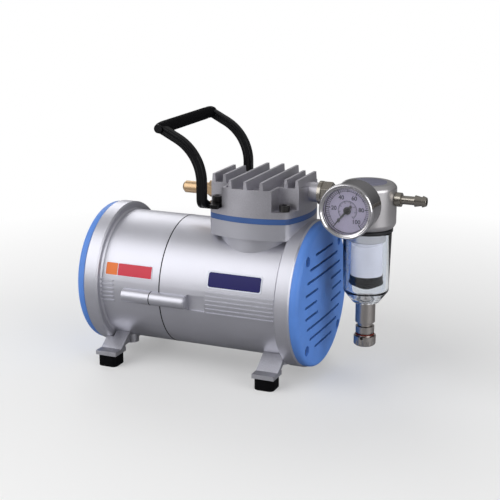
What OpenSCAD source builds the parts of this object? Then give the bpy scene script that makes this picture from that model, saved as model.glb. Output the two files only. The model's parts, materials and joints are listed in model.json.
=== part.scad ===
// Oil-free piston vacuum pump with a finned head, a carrying handle, a gauge
// and a clear moisture trap. The shaft runs along X, the front faces -Y and
// the rubber feet stand on Z = 0. Lengths are in millimetres.

/* [Housing] */
// Height of the end flanges' underside above the floor
under_gap = 8; // [6:0.5:14]
// Outer diameter of the two body shells
body_d = 109; // [106:0.5:112]
// Rise of the two end flanges over the shells
flange_rise = 6.5; // [6:0.25:8.5]
// Wall of the body shells
body_wall = 3.5; // [3:0.25:4.5]
// Length of the motor housing, the left shell
motor_len = 67.5; // [66:0.5:70]
// Length of the crankcase, the right shell
crankcase_len = 116; // [114:0.5:119]
// Distance from the cylinder axis to the crankcase's right face
head_inset = 45.2; // [44:0.1:48]
// Width of an end flange
flange_w = 13; // [11:0.5:15]
// Wall of an end flange round the fan
flange_wall = 4; // [3:0.5:5]
// Depth of the fan chamber in the motor housing
fan_room = 22; // [21:0.5:24]
// Thickness of the walls that hold the bearings
bulkhead_t = 4; // [3:0.5:5]
// Radius of the bosses for the two clamping screws
boss_r = 5.6; // [5.2:0.1:6]
// Height of the clamping screws below the shaft
boss_drop = 3.3; // [2:0.1:5]
// Length by which the crankcase bosses reach past the seam
boss_nose = 6.7; // [5:0.1:8]

/* [Fan covers] */
// Distance of a cover's edge inside the flange's edge
cover_inset = 1; // [0.5:0.25:2]
// Height of a cover's straight rim
cover_rim_h = 3; // [2.5:0.25:4]
// Radius of the rounded edge of a cover
cover_edge_r = 4; // [3:0.5:5]
// Sheet thickness of a cover
cover_t = 2; // [1.5:0.25:2.5]
// Distance from slot to slot
slot_pitch = 9.6; // [9:0.1:10]
// Height of one air slot
slot_h = 2.2; // [1.6:0.1:2.8]
// Plain border of a cover outside its slots
slot_border = 16.5; // [15:0.5:19]
// Radius of the plain disc in the middle
blank_r = 19; // [17:0.5:21]

/* [Cylinder and head] */
// Height of the crankcase's top face above the shells
deck_rise = 9.5; // [8:0.5:12]
// Thickness of the crankcase's top plate
deck_t = 13.3; // [12:0.1:14]
// Half the width of the head over its bulged sides
head_half = 41; // [40:0.5:42]
// Radius of the bulged sides
head_bulge_r = 76; // [70:1:90]
// Radius of the round neck under the top plate
neck_r = 38; // [36:0.5:39]
// Cylinder bore radius
bore_r = 25; // [24:0.25:26]
// Crank throw, half the piston's stroke
throw = 3.2; // [2.6:0.1:3.6]
// Thickness of the blue valve plate
valve_plate_t = 4.7; // [4.2:0.1:5.4]
// Height of the head's lower lip
head_lip_h = 5.3; // [4.5:0.1:6]
// Height of the head block above the lip
head_block_h = 17; // [16.6:0.1:18]
// Half width of the block's arms beside the bolt recesses
head_arm = 21.3; // [20:0.1:22]
// Height of the fin tips above the block
fin_rise = 6.6; // [5:0.1:8]
// Distance between the middle fins
fin_pitch = 13.3; // [12.5:0.1:14]
// Distance of the head bolts from the cylinder axis, along X and Y
bolt_off = 29; // [28:0.1:29.5]

/* [Handle] */
// Distance from the middle of the handle to an arm's centre
handle_half = 47; // [45:0.5:49]
// Width and depth of an arm's square section
handle_bar = 7; // [6:0.25:8]
// Radius of the bend in the arms
handle_bend_r = 38; // [34:0.5:42]
// Angle through which an arm bends
handle_bend = 63; // [56:1:70]
// Height of the straight lower part of an arm
handle_rise = 21.3; // [18:0.1:25]
// Length of the straight upper part of an arm
handle_reach = 16.5; // [12:0.5:20]
// Radius of the grip
grip_r = 5; // [4.5:0.25:6]

/* [Moisture trap] */
// Length of the inlet pipe from the head to the trap
inlet_len = 18; // [16:0.5:22]
// Height of the inlet above the head's lip
port_rise = 11; // [10.6:0.1:11.2]
// Radius of the trap's metal head
trap_r = 22.5; // [22:0.25:24]
// Radius of the clear bowl at its top
bowl_top_r = 19.5; // [19:0.25:20]
// Radius of the clear bowl at its bottom
bowl_low_r = 18.2; // [17.8:0.1:18.6]
// Length of the bowl's straight side
bowl_h = 49; // [46:0.5:52]
// Wall of the bowl
bowl_wall = 2; // [1.5:0.1:2.2]
// Radius of the filter element
filter_r = 13; // [12:0.25:13.5]
// Length of the filter element
filter_h = 33; // [30:0.5:34]

/* [Gauge] */
// Radius of the gauge's bezel
bezel_r = 21.3; // [20.5:0.1:22]
// Radius of the gauge's case
gauge_case_r = 20; // [19.5:0.1:20.4]
// Depth of the gauge from its back to the bezel's front
gauge_depth = 27; // [25:0.5:30]

/* [Feet] */
// Distance of a leg's front end from the middle
leg_reach = 57; // [55:0.5:60]
// Side of a rubber foot, a rounded square
foot_w = 17; // [15:0.5:18]
// Height of a rubber foot
foot_h = 10; // [9:0.25:11]
// Width of a leg along the shaft
leg_w = 19; // [18:0.5:20]
// Distance of the left leg's middle from the left face
left_leg_in = 17.3; // [16.8:0.1:18.3]
// Distance of the right leg's middle from the right face
right_leg_in = 23.2; // [22.8:0.1:25]

/* [Hidden] */
$fn = 96;

// One named overrun for every cut
cut = 1;
// Clearance between pieces of different bodies
gap = 0.35;
// Small clearance round screws and pressed-in pieces of one body
fit = 0.1;
// Radial running clearance of bearings and pivots
run = 0.05;

// Body shells, measured from the shaft and the cylinder axis
body_r = body_d / 2;
flange_r = body_r + flange_rise;
axis_h = flange_r + under_gap;
bore_body_r = body_r - body_wall;
fan_bore_r = flange_r - flange_wall;
x_right = head_inset;
x_seam = x_right - crankcase_len;
x_left = x_seam - motor_len;
left_leg_x = -x_left - left_leg_in;
right_leg_x = x_right - right_leg_in;
edge = 1.2;
seam_edge = 0.5;

// Bearings of the shaft
shaft_r = 6;
bearing_r = 16;
bearing_w = 10;
bearing_land = 2.6;
bearing_split_r = 9.5;
hub_wall = 3.5;
hub_lip = 1.5;
x_bulk_l = x_left + fan_room;
mid_wall_off = 34;
x_bulk_m = -mid_wall_off;
window_r = 7;
window_ring_share = 0.66;
window_count = 6;

// Motor inside the shells
stator_depth = 24.5;
stator_bore_r = bore_body_r - stator_depth;
air_gap = 0.5;
stator_slots = 18;
stator_slot_w = 4;
stator_lip = 2.5;
stator_yoke = 9;
stator_slot_r0 = stator_bore_r + stator_lip;
stator_slot_r1 = bore_body_r - stator_yoke;
winding_over = 9;
winding_margin = 0.4;
winding_room = 7.5;
stator_room = 21.8;
x_stator1 = x_bulk_m - stator_room;
x_stator0 = x_bulk_l + bulkhead_t + winding_room + winding_over;
rotor_r = stator_bore_r - air_gap;
rotor_ring_in = 2.5;
rotor_ring_r = rotor_r - rotor_ring_in;
rotor_ring_w = 4;
rotor_seat_r = 8;
rotor_seat_over = 6;

// Fans
fan_tip_gap = 6;
fan_r = bore_body_r - fan_tip_gap;
fan_hub_r = 12;
fan_w = 12;
fan_blades = 7;
fan_blade_t = 1.6;
fan_blade_pitch = 35;
fan_gap = 4;
fan_root = 1.5;

// Clamping screws of the shells
boss_axis_r = flange_r - boss_r;
boss_left_len = 25.5;
boss_right_len = 30.5;
boss_pocket_len = 15.5;
boss_pocket_h = 13;
boss_pocket_deep = 2.5;
clamp_screw_r = 2;
clamp_head_r = 3.5;
clamp_head_h = 4;
clamp_grip = 20;
hex_key_r = 1.9;
hex_key_deep = 2.2;
x_boss_joint = x_seam - boss_nose;
x_boss_end = x_boss_joint + boss_right_len;

// Cooling ribs along the sides of the shells
rib_count = 6;
rib_pitch = 3.6;
rib_t = 1.2;
rib_rise = 0.9;
rib_drop = 1.5;
rib_len_left = 12;
rib_gap = 2.5;
rib_gap_end = 2.2;
x_rib_right = x_boss_end + boss_pocket_len + rib_gap;
x_rib_end = x_right - flange_w - rib_gap_end;
z_rib_top = (rib_count - 1) / 2 * rib_pitch - rib_drop + rib_t / 2;

// Covers and their screws
cover_top_h = cover_rim_h + cover_edge_r;
cover_r = flange_r - cover_inset;
slot_field_r = cover_r - slot_border;
cover_dome = 1.4;
cover_flat = 2;
cover_screw_r = 1.9;
cover_screw_head_r = 3.4;
cover_screw_head_h = 2.2;
cover_screw_len = 10;
cover_seat_h = 3.2;
cover_dimple_r = 4.2;
cover_lug_r = 6;
lug_len = 11;
cover_screw_in = 7.6;
screw_ring_r = cover_r - cover_screw_in;
screw_angle = 45;

// Cylinder, neck and top plate
z_deck = body_r + deck_rise;
z_plate = z_deck + valve_plate_t;
z_lip = z_plate + head_lip_h;
z_block = z_lip + head_block_h;
z_fin = z_block + fin_rise;
port_h = z_lip + port_rise;
head_corner_r = 46.4;
sleeve_wall = 2.5;
sleeve_len = 28;
sleeve_r = bore_r + sleeve_wall;
sleeve_lip_r = sleeve_r + sleeve_wall;
sleeve_lip_h = 3;
head_bolt_r = 2.5;
head_bolt_head_r = 4.25;
head_bolt_head_h = 5;

// Head block, fins and chambers
rim_w = 2.5;
valley_deep = 2.5;
fin_base_t = 3.6;
fin_tip_t = 2.2;
outer_fin_step = 9.4;
chamber_x0 = 2.5;
chamber_x1 = 30;
chamber_half = 17;
chamber_h = 15;
intake_boss_r = 8;
intake_boss_out = 7;
port_seat_r = 5;
port_bore_r = 2.6;
port_seat_deep = 7;
exhaust_rise = 6;
exhaust_h = z_lip + exhaust_rise;

// Valve plate ports and reeds
reed_l = 22;
reed_w = 9;
reed_t = 0.3;
reed_pocket_deep = 1.9;
reed_pocket_side = 1.2;
reed_x = 11.5;
reed_port_r = 2.6;
reed_port_off = 4.5;
reed_screw_r = 1.2;
reed_screw_head_r = 2.1;
reed_screw_head_h = 1;

// Crank, rod and piston
pin_r = 12.5;
pin_w = 12;
crank_hub_r = 14;
crank_right_w = 8;
crank_left_w = 9;
counter_r = 31;
ecc_side_gap = 1;
big_inner_r = 15.5;
big_outer_r = 23.5;
rod_eye_wall = 4.5;
rod_w = 10;
rod_web_half = 8;
rod_rib_half = 3;
rod_foot_r = 15;
rod_foot_t = 4;
piston_r = bore_r - throw - gap;
piston_top_gap = 0.8;
piston_clamp_t = 3;
piston_clamp_r = piston_r - 2.4;
cup_t = 0.9;
cup_skirt_h = 3;
piston_screw_r = 3;
piston_screw_head_r = 5.2;
piston_screw_head_h = 2;
z_piston_top = z_deck - piston_top_gap;
z_cup = z_piston_top - piston_clamp_t;
z_rod_top = z_cup - cup_t;

// Handle
handle_x = 34.5;
handle_tab_t = 3;
handle_tab_r = 6.5;
handle_groove_w = 2.2;
handle_groove_deep = 0.8;
handle_screw_r = 2.5;
handle_screw_head_r = 3.6;
handle_screw_head_h = 1.6;
handle_screw_len = 14;
bend_x = -handle_x - handle_bend_r;
bend_z = z_lip + handle_rise;
grip_x = bend_x + handle_bend_r * cos(handle_bend) - handle_reach * sin(handle_bend);
grip_z = bend_z + handle_bend_r * sin(handle_bend) + handle_reach * cos(handle_bend);

// Exhaust muffler and intake nipple
muffler_r = 5;
muffler_len = 24;
muffler_hex_r = 7;
muffler_hex_w = 8;
muffler_round = 2;
nipple_bore_r = 2.6;
nipple_hex_r = 9.5;
nipple_hex_w = 8;
x_boss_face = head_half + intake_boss_out;
trap_x = x_boss_face + inlet_len + trap_r;

// Moisture trap, downward from its head
trap_over = 12;
trap_head_h = 36.3;
trap_crown = 3;
trap_chin = 3.4;
trap_chin_in = 2.4;
trap_duct_r = 4;
spigot_r = 15.6;
spigot_h = 11;
collar_h = 2.4;
collar_lap = 0.8;
bowl_cone_h = 10;
bowl_neck_r = 10.5;
bowl_floor = 2.2;
drain_r = 8;
drain_seat_r = 4.8;
drain_h = 17;
drain_waist_r = 6;
drain_waist_h = 3;
knob_r = 9;
knob_h = 16;
knob_bore_h = 10;
knob_flutes = 12;
knob_flute_r = 1.3;
knob_waist_r = 7.6;
knob_band_h = 5;
needle_r = 2.2;
needle_tip_r = 1;
needle_h = 16;
drain_hole_r = 1.2;
baffle_r = 14;
baffle_h = 7;
baffle_vane_t = 1.6;
filter_bore_r = 8;
filter_post_r = 3.5;
filter_cap_t = 2;
z_trap_top = port_h + trap_over;
z_trap_low = z_trap_top - trap_head_h;
z_collar = z_trap_low - gap;
z_bowl_top = z_collar - collar_h - gap;
z_bowl_low = z_bowl_top - bowl_h;
z_spigot = z_trap_low - spigot_h;
z_filter = z_spigot - filter_h;
z_neck = z_bowl_low - bowl_cone_h;
z_drain_low = z_neck - drain_h;

// Hose barb
barb_collar_r = 5.6;
barb_collar_w = 5;
barb_stem_r = 3.4;
barb_tip_r = 4.6;
barb_bore_r = 2.2;
barb_len = 20;
barb_tip_w = 3.2;
barb_pitch = 6.1;

// Gauge, backward from its bezel
gauge_stem_gap = 7.5;
gauge_hex_r = 7.5;
gauge_wall = 1.2;
gauge_step = 0.9;
bezel_w = 4.5;
bezel_lip = 2.1;
lens_t = 1.5;
lens_set = 1.8;
dial_t = 0.6;
dial_depth = 6.2;
spindle_r = 0.7;
spindle_hole_r = 1.1;
pointer_t = 0.5;
pointer_len = 14;
pointer_tail = 5;
pointer_half = 1.1;
pointer_hub_r = 2;
pointer_lift = 1.2;
pointer_rest = 130;
y_gauge_back = -trap_r - gauge_stem_gap;
y_gauge_front = y_gauge_back - gauge_depth;
y_dial = y_gauge_front + dial_depth;

// Legs
leg_t = 4.5;
pad_t = 3.6;
pad_len = 18;
pad_ledge = 9.5;
pad_skin = 0.8;
leg_low = foot_h - axis_h;
leg_slope_y = leg_reach - pad_ledge;
leg_bar_y = 6.5;
leg_run = 20;
leg_shoulder_y = leg_slope_y - leg_run;
leg_lap = 4.3;
leg_shoulder_z = -sqrt(pow(body_r - leg_lap, 2) - leg_shoulder_y * leg_shoulder_y);
leg_boss_r = 6;
leg_screw_r = 2.5;
leg_screw_head_r = 4.2;
leg_screw_head_h = 2.6;
leg_screw_y = 14;
leg_screw_off = 2;
foot_inset = 0.8;
foot_round = 4;
foot_y = leg_reach - foot_inset - foot_w / 2;
foot_screw_r = 2.5;
foot_screw_head_r = 4.6;
foot_screw_head_h = 3;
foot_screw_sink = 2;

// Switch box on the rear of the motor housing
box_rise = 11.5;
box_rib_gap = 0.5;
box_l = 42;
box_mid = -(x_left + flange_w + x_seam) / 2;
box_x0 = box_mid + box_l / 2;
box_x1 = box_mid - box_l / 2;
box_z0 = z_rib_top + box_rib_gap;
box_z1 = 38;
box_y = body_r + box_rise;
box_wall = 2.5;
box_corner = 3;
switch_w = 13;
switch_l = 19.4;
switch_z = 23;
switch_off = 9;
switch_x = box_mid - switch_off;
switch_deep = 9;
switch_pivot_in = 3.2;
gland_x = box_mid + switch_off;
gland_z = 27;
gland_r = 7.5;
gland_nut_r = 9.6;
gland_nut_h = 4;
gland_len = 5;
gland_bore_r = 3.6;
capacitor_l = 17;
capacitor_h = 6.2;
capacitor_w = 7;
capacitor_in = 1.2;
capacitor_z = box_z0 + box_wall + capacitor_in;
capacitor_x = box_x0 - box_wall - capacitor_in;
wire_x = box_mid;
wire_z = 22;
wire_r = 4;

// The part stands with its box centred on the origin
x_low = x_left - cover_top_h - cover_dome;
x_high = trap_x + trap_r - fit + barb_collar_w + barb_len;
mid_x = (x_low + x_high) / 2;
mid_y = (box_y + gland_nut_h + gland_len - flange_r) / 2;

// Further places derived from the sizes above
x_leg_screw_l = -left_leg_x + leg_screw_off;
x_leg_screw_r = right_leg_x;
z_leg_screw = -sqrt(body_r * body_r - leg_screw_y * leg_screw_y) + body_wall / 2;
z_foot_seat = -axis_h + foot_screw_sink + foot_screw_head_h;
crank_right_r = 9;
counter_chord = 5;
piston_screw_len = 12;
reed_screw_y = 8;
reed_screw_len = 3.4;
z_reed_in = z_deck + reed_pocket_deep - run;
hex_big_share = 1.2;
nipple_collar_w = 3;
trap_drop_x = 13.4;
trap_rise_x = 5.8;
trap_drop_r = 1.4;
filter_post_bite = 7;
drain_stem_r = 4;
z_knob_top = z_drain_low - drain_waist_h - gap;
z_stem_low = z_knob_top - knob_bore_h / 2;
needle_tip_h = 2;
knob_flute_out = 0.7;
x_barb = trap_x + trap_r - fit;
y_lens = y_gauge_front + lens_set;
gauge_post_gap = 4;
gauge_post_r = 4;
gauge_hex_w = 5.5;
spindle_len = 10;
pointer_tip_share = 0.35;
switch_lug = 2.5;
switch_lug_y = 2.6;
switch_pin_len = 2;
switch_pin_r = 1;
switch_tilt = 8;
rocker_half = 8.6;
rocker_root = 2.5;
rocker_root_y = 4;
rocker_tip_y = 4.4;
rocker_mid_y = 3;

// Moves the shaft to its height and the box's middle to the origin
module seated() {
    translate([-mid_x, -mid_y, axis_h]) children();
}

// A round bar along X, Y or Z from one place to another
module bar_x(x0, x1, r) {
    translate([x0, 0, 0]) rotate([0, 90, 0]) cylinder(h = x1 - x0, r = r);
}

module bar_y(y0, y1, r) {
    translate([0, y0, 0]) rotate([-90, 0, 0]) cylinder(h = y1 - y0, r = r);
}

module bar_z(z0, z1, r) {
    translate([0, 0, z0]) cylinder(h = z1 - z0, r = r);
}

// A tapered bar along Z
module cone_z(z0, z1, r0, r1) {
    translate([0, 0, z0]) cylinder(h = z1 - z0, r1 = r0, r2 = r1);
}

// A box given by its corners
module block(x0, x1, y0, y1, z0, z1) {
    translate([x0, y0, z0]) cube([x1 - x0, y1 - y0, z1 - z0]);
}

// A revolved outline about X: its points are [radius, place along X]
module turned_x(points) {
    rotate([0, 90, 0]) rotate_extrude() polygon(points);
}

// The cover screws' four places round the shaft
module on_diagonals() {
    for (a = [screw_angle : 90 : 360]) rotate([a, 0, 0]) translate([0, screw_ring_r, 0]) children();
}

// The head bolts' four places
module on_bolts() {
    for (x = [-bolt_off, bolt_off], y = [-bolt_off, bolt_off]) translate([x, y, 0]) children();
}

// The front and the rear of the body
module on_both_sides() {
    children();
    mirror([0, 1, 0]) children();
}

// The clamping screws' axes, at the front and the rear
module on_bosses() {
    on_both_sides() translate([0, -boss_axis_r, -boss_drop]) children();
}

// The outside of a shell from the seam to its flange, with bevelled edges
module shell_skin(x_end, x_face, x_step) {
    side = x_face > x_end ? 1 : -1;
    turned_x([
        [0, x_end], [body_r - seam_edge, x_end], [body_r, x_end + side * seam_edge],
        [body_r, x_step - side * edge], [body_r + edge, x_step],
        [flange_r - edge, x_step], [flange_r, x_step + side * edge],
        [flange_r, x_face - side * edge], [flange_r - edge, x_face], [0, x_face]
    ]);
}

// Windows for the cooling air in a bearing wall
module wall_windows(x_wall) {
    for (i = [0 : window_count - 1])
        rotate([360 * i / window_count, 0, 0])
            translate([0, bore_body_r * window_ring_share, 0])
                bar_x(x_wall - cut, x_wall + bulkhead_t + cut, window_r);
}

// Fine raised ribs along the front and the rear of a shell
module side_ribs(x0, x1) {
    intersection() {
        on_both_sides()
            for (i = [0 : rib_count - 1])
                translate([0, 0, (i - (rib_count - 1) / 2) * rib_pitch - rib_drop - rib_t / 2])
                    block(x0, x1, -body_r - rib_rise, -bore_body_r, 0, rib_t);
        bar_x(x0, x1, body_r + rib_rise);
    }
}

// Lugs inside a flange for the cover screws
module cover_lugs(x0, x1) {
    intersection() {
        on_diagonals() bar_x(x0, x1, cover_lug_r);
        bar_x(x0, x1, fan_bore_r + fit);
    }
}

module motor_housing() seated() color("silver") difference() {
    union() {
        difference() {
            union() {
                shell_skin(x_seam, x_left, x_left + flange_w);
                on_bosses() bar_x(x_boss_joint - boss_left_len, x_boss_joint, boss_r);
                side_ribs(x_left + flange_w - edge, x_left + flange_w + rib_len_left);
            }
            bar_x(x_left - cut, x_left + flange_w - flange_wall, fan_bore_r);
            bar_x(x_left, x_bulk_l, bore_body_r);
            bar_x(x_bulk_l + bulkhead_t, x_seam + cut, bore_body_r);
        }
        bar_x(x_bulk_l, x_bulk_l + bearing_w + hub_lip, bearing_r + hub_wall);
        cover_lugs(x_left, x_left + lug_len);
    }
    bar_x(x_bulk_l - cut, x_bulk_l + bearing_w, bearing_r + fit);
    bar_x(x_bulk_l, x_seam, bearing_r - bearing_land);
    wall_windows(x_bulk_l);
    on_diagonals() bar_x(x_left - cut, x_left + cover_screw_len, cover_screw_r + fit);
    on_bosses() bar_x(x_boss_joint, x_seam + cut, boss_r + fit);
    on_bosses() bar_x(x_boss_joint - clamp_grip, x_boss_joint + cut, clamp_screw_r + fit);
    translate([-wire_x, 0, wire_z]) bar_y(bore_body_r * window_ring_share, body_r + cut, wire_r);
    leg_screw_holes(x_leg_screw_l);
}

// Rounded square outline of the head, with bulged sides
module head_plan(inset = 0) {
    intersection() {
        intersection_for(a = [0 : 90 : 270])
            rotate(a) translate([head_half - head_bulge_r, 0]) circle(r = head_bulge_r - inset);
        circle(r = head_corner_r - inset);
    }
}

module crankcase() seated() color("silver") difference() {
    union() {
        difference() {
            union() {
                shell_skin(x_seam, x_right, x_right - flange_w);
                on_bosses() bar_x(x_boss_joint, x_boss_end, boss_r);
                side_ribs(x_rib_right, x_rib_end);
                bar_z(0, z_deck - deck_t + cut, neck_r);
                translate([0, 0, z_deck - deck_t]) linear_extrude(deck_t) head_plan();
            }
            bar_x(x_boss_joint - cut, x_bulk_m, bore_body_r);
            bar_x(x_bulk_m + bulkhead_t, x_right + cut, bore_body_r);
            bar_x(x_right - flange_w + flange_wall, x_right + cut, fan_bore_r);
        }
        bar_x(x_bulk_m - hub_lip, x_bulk_m + bearing_w, bearing_r + hub_wall);
        cover_lugs(x_right - lug_len, x_right);
    }
    bar_x(x_bulk_m, x_bulk_m + bearing_w + cut, bearing_r + fit);
    bar_x(x_bulk_m - hub_lip - cut, x_bulk_m + cut, bearing_r - bearing_land);
    wall_windows(x_bulk_m);
    on_diagonals() bar_x(x_right - cover_screw_len, x_right + cut, cover_screw_r + fit);
    bar_z(0, z_deck + cut, sleeve_r + fit);
    bar_z(z_deck - sleeve_lip_h, z_deck + cut, sleeve_lip_r + fit);
    on_bolts() bar_z(z_deck - deck_t - cut, z_deck + cut, head_bolt_r + fit);
    on_bosses() bar_x(x_boss_joint - cut, x_boss_end + cut, clamp_screw_r + fit);
    on_bosses() bar_x(x_boss_end - clamp_head_h, x_boss_end + cut, clamp_head_r + fit);
    on_both_sides()
        translate([x_boss_end + edge, -body_r - cut, -boss_drop - boss_pocket_h / 2])
            cube([boss_pocket_len, boss_pocket_deep + cut, boss_pocket_h]);
    leg_screw_holes(x_leg_screw_r);
}

// Socket screws that clamp the two shells together
module housing_screws() seated() color("dimgray") on_bosses() difference() {
    union() {
        bar_x(x_boss_joint - clamp_grip + cut, x_boss_end - clamp_head_h, clamp_screw_r);
        bar_x(x_boss_end - clamp_head_h, x_boss_end, clamp_head_r);
    }
    translate([x_boss_end - hex_key_deep, 0, 0])
        rotate([0, 90, 0]) cylinder(h = hex_key_deep + cut, r = hex_key_r, $fn = 6);
}

// Half outline of a cover, from its middle to its rounded edge
module cover_outline(r, round_r, h) {
    dome_r = r - round_r - cover_flat;
    cap_r = (dome_r * dome_r + cover_dome * cover_dome) / (2 * cover_dome);
    square([r - round_r, h]);
    square([r, h - round_r]);
    translate([r - round_r, h - round_r]) intersection() {
        circle(r = round_r);
        square(round_r);
    }
    intersection() {
        translate([0, h + cover_dome - cap_r]) circle(r = cap_r);
        square([r - round_r, h + cover_dome]);
    }
}

// One slot with round ends, along Y
module cover_slot(y0, y1) {
    linear_extrude(cover_top_h + cover_dome + cut) {
        translate([-slot_h / 2, y0]) square([slot_h, y1 - y0]);
        for (y = [y0, y1]) translate([0, y]) circle(r = slot_h / 2);
    }
}

// The slotted field: long rows, and short rows beside the plain disc
module cover_slots() {
    rows = floor(slot_field_r / slot_pitch);
    for (i = [-rows : rows]) {
        x = i * slot_pitch;
        reach = sqrt(slot_field_r * slot_field_r - x * x) - slot_h / 2;
        inner = abs(x) < blank_r ? sqrt(blank_r * blank_r - x * x) : 0;
        translate([x, 0, 0])
            if (inner > slot_h) {
                cover_slot(inner, reach);
                cover_slot(-reach, -inner);
            } else {
                cover_slot(-reach, reach);
            }
    }
}

module fan_cover() difference() {
    union() {
        difference() {
            rotate_extrude() cover_outline(cover_r, cover_edge_r, cover_top_h);
            translate([0, 0, -cut]) rotate_extrude()
                cover_outline(cover_r - cover_t, cover_edge_r - cover_t, cover_top_h - cover_t + cut);
        }
        intersection() {
            for (a = [screw_angle : 90 : 360]) rotate(a) translate([screw_ring_r, 0, 0])
                cylinder(h = cover_top_h, r = cover_lug_r);
            rotate_extrude() cover_outline(cover_r - cover_t / 2, cover_edge_r - cover_t / 2, cover_top_h);
        }
    }
    cover_slots();
    for (a = [screw_angle : 90 : 360]) rotate(a) translate([screw_ring_r, 0, 0]) {
        translate([0, 0, -cut]) cylinder(h = cover_top_h, r = cover_screw_r + fit);
        translate([0, 0, cover_seat_h]) cylinder(h = cover_top_h, r = cover_dimple_r);
    }
}

module left_fan_cover() seated() color("royalblue")
    translate([x_left, 0, 0]) rotate([0, -90, 0]) fan_cover();

module right_fan_cover() seated() color("royalblue")
    translate([x_right, 0, 0]) rotate([0, 90, 0]) fan_cover();

module cover_screw() {
    translate([0, 0, cover_seat_h]) difference() {
        cylinder(h = cover_screw_head_h, r = cover_screw_head_r);
        translate([0, 0, cover_screw_head_h / 2]) cylinder(h = cover_screw_head_h, r = cover_screw_r, $fn = 6);
    }
    translate([0, 0, -cover_screw_len + cut]) cylinder(h = cover_screw_len - cut + cover_seat_h, r = cover_screw_r);
}

module cover_screws() seated() color("dimgray") for (side = [-1, 1])
    translate([side > 0 ? x_right : x_left, 0, 0]) rotate([0, 90 * side, 0])
        for (a = [screw_angle : 90 : 360]) rotate(a) translate([screw_ring_r, 0, 0]) cover_screw();

// Holes for the leg screws in the underside of a shell
module leg_screw_holes(x) {
    on_both_sides() translate([x, -leg_screw_y, 0]) bar_z(-body_r - cut, -bore_body_r / 2, leg_screw_r + fit);
}

// One leg seen along the shaft: a cross web under the body
module leg_web() {
    polygon([
        [-leg_reach, leg_low], [leg_reach, leg_low], [leg_reach, leg_low + pad_t],
        [leg_slope_y, leg_low + pad_t], [leg_shoulder_y, leg_shoulder_z],
        [-leg_shoulder_y, leg_shoulder_z], [-leg_slope_y, leg_low + pad_t],
        [-leg_reach, leg_low + pad_t]
    ]);
}

// The pad over a foot and the sloping plate up to the body
module leg_arm() {
    polygon([
        [leg_reach, leg_low], [leg_reach - pad_len, leg_low], [leg_reach - pad_len, leg_low + pad_t],
        [leg_slope_y - leg_bar_y, leg_low + pad_t], [leg_shoulder_y - leg_bar_y, leg_shoulder_z],
        [leg_shoulder_y, leg_shoulder_z], [leg_slope_y, leg_low + pad_t], [leg_reach, leg_low + pad_t]
    ]);
}

module leg(x_mid, x_screw) difference() {
    union() {
        translate([x_mid - leg_t / 2, 0, 0]) rotate([90, 0, 90]) linear_extrude(leg_t) leg_web();
        on_both_sides()
            translate([x_mid - leg_w / 2, 0, 0]) rotate([90, 0, 90]) linear_extrude(leg_w) leg_arm();
        on_both_sides() translate([x_screw, -leg_screw_y, 0]) bar_z(leg_low, -bore_body_r, leg_boss_r);
    }
    bar_x(x_mid - leg_w, x_mid + leg_w, body_r + fit);
    on_both_sides() translate([x_screw, -leg_screw_y, 0]) {
        bar_z(leg_low - cut, 0, leg_screw_r + fit);
        bar_z(leg_low - cut, leg_low + leg_screw_head_h, leg_screw_head_r + fit);
    }
    on_both_sides() translate([x_mid, -foot_y, 0]) bar_z(leg_low - cut, leg_low + pad_t - pad_skin, foot_screw_r + fit);
}

module left_leg() seated() color("silver") difference() {
    leg(-left_leg_x, x_leg_screw_l);
    bar_x(x_left, x_left + flange_w + edge + fit, flange_r + fit);
}

module right_leg() seated() color("silver") difference() {
    leg(right_leg_x, x_leg_screw_r);
    bar_x(x_right - flange_w - edge - fit, x_right, flange_r + fit);
}

// Screws from below through the webs into the body
module leg_screws() seated() color("dimgray")
    for (x = [x_leg_screw_l, x_leg_screw_r]) on_both_sides() translate([x, -leg_screw_y, 0]) {
        bar_z(leg_low, leg_low + leg_screw_head_h, leg_screw_head_r);
        bar_z(leg_low + leg_screw_head_h, z_leg_screw, leg_screw_r);
    }

// Outline of a foot from above, a square with round corners
module foot_plan() {
    core = foot_w - 2 * foot_round;
    square([foot_w, core], center = true);
    square([core, foot_w], center = true);
    for (x = [-core / 2, core / 2], y = [-core / 2, core / 2]) translate([x, y]) circle(r = foot_round);
}

// A rubber foot with a sunk seat for its screw
module foot(x, y) seated() color("dimgray") translate([x, y, 0]) difference() {
    translate([0, 0, -axis_h]) linear_extrude(foot_h) foot_plan();
    bar_z(-axis_h - cut, leg_low + cut, foot_screw_r + fit);
    bar_z(-axis_h - cut, z_foot_seat, foot_screw_head_r + fit);
}

module front_left_foot() foot(-left_leg_x, -foot_y);
module front_right_foot() foot(right_leg_x, -foot_y);
module rear_left_foot() foot(-left_leg_x, foot_y);
module rear_right_foot() foot(right_leg_x, foot_y);

module foot_screws() seated() color("silver")
    for (x = [-left_leg_x, right_leg_x]) on_both_sides() translate([x, -foot_y, 0]) {
        bar_z(z_foot_seat - foot_screw_head_h, z_foot_seat, foot_screw_head_r);
        bar_z(z_foot_seat, leg_low + pad_t - pad_skin - fit, foot_screw_r);
    }

// Slots of the laminated core, each as a box along the shaft
module core_slots(margin) {
    for (i = [0 : stator_slots - 1])
        rotate([360 * i / stator_slots, 0, 0])
            block(x_stator0 - winding_over, x_stator1 + winding_over,
                stator_slot_r0 + margin, stator_slot_r1 - margin,
                -stator_slot_w / 2 + margin, stator_slot_w / 2 - margin);
}

module stator_core() seated() color("dimgray") difference() {
    bar_x(x_stator0, x_stator1, bore_body_r - fit);
    bar_x(x_stator0 - cut, x_stator1 + cut, stator_bore_r);
    core_slots(0);
}

module stator_windings() seated() color("chocolate") union() {
    core_slots(winding_margin);
    for (x = [x_stator0 - winding_over, x_stator1 + winding_margin]) difference() {
        bar_x(x, x + winding_over - winding_margin, stator_slot_r1 + winding_margin);
        bar_x(x - cut, x + winding_over + cut, stator_slot_r0 - winding_margin);
    }
}

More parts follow.
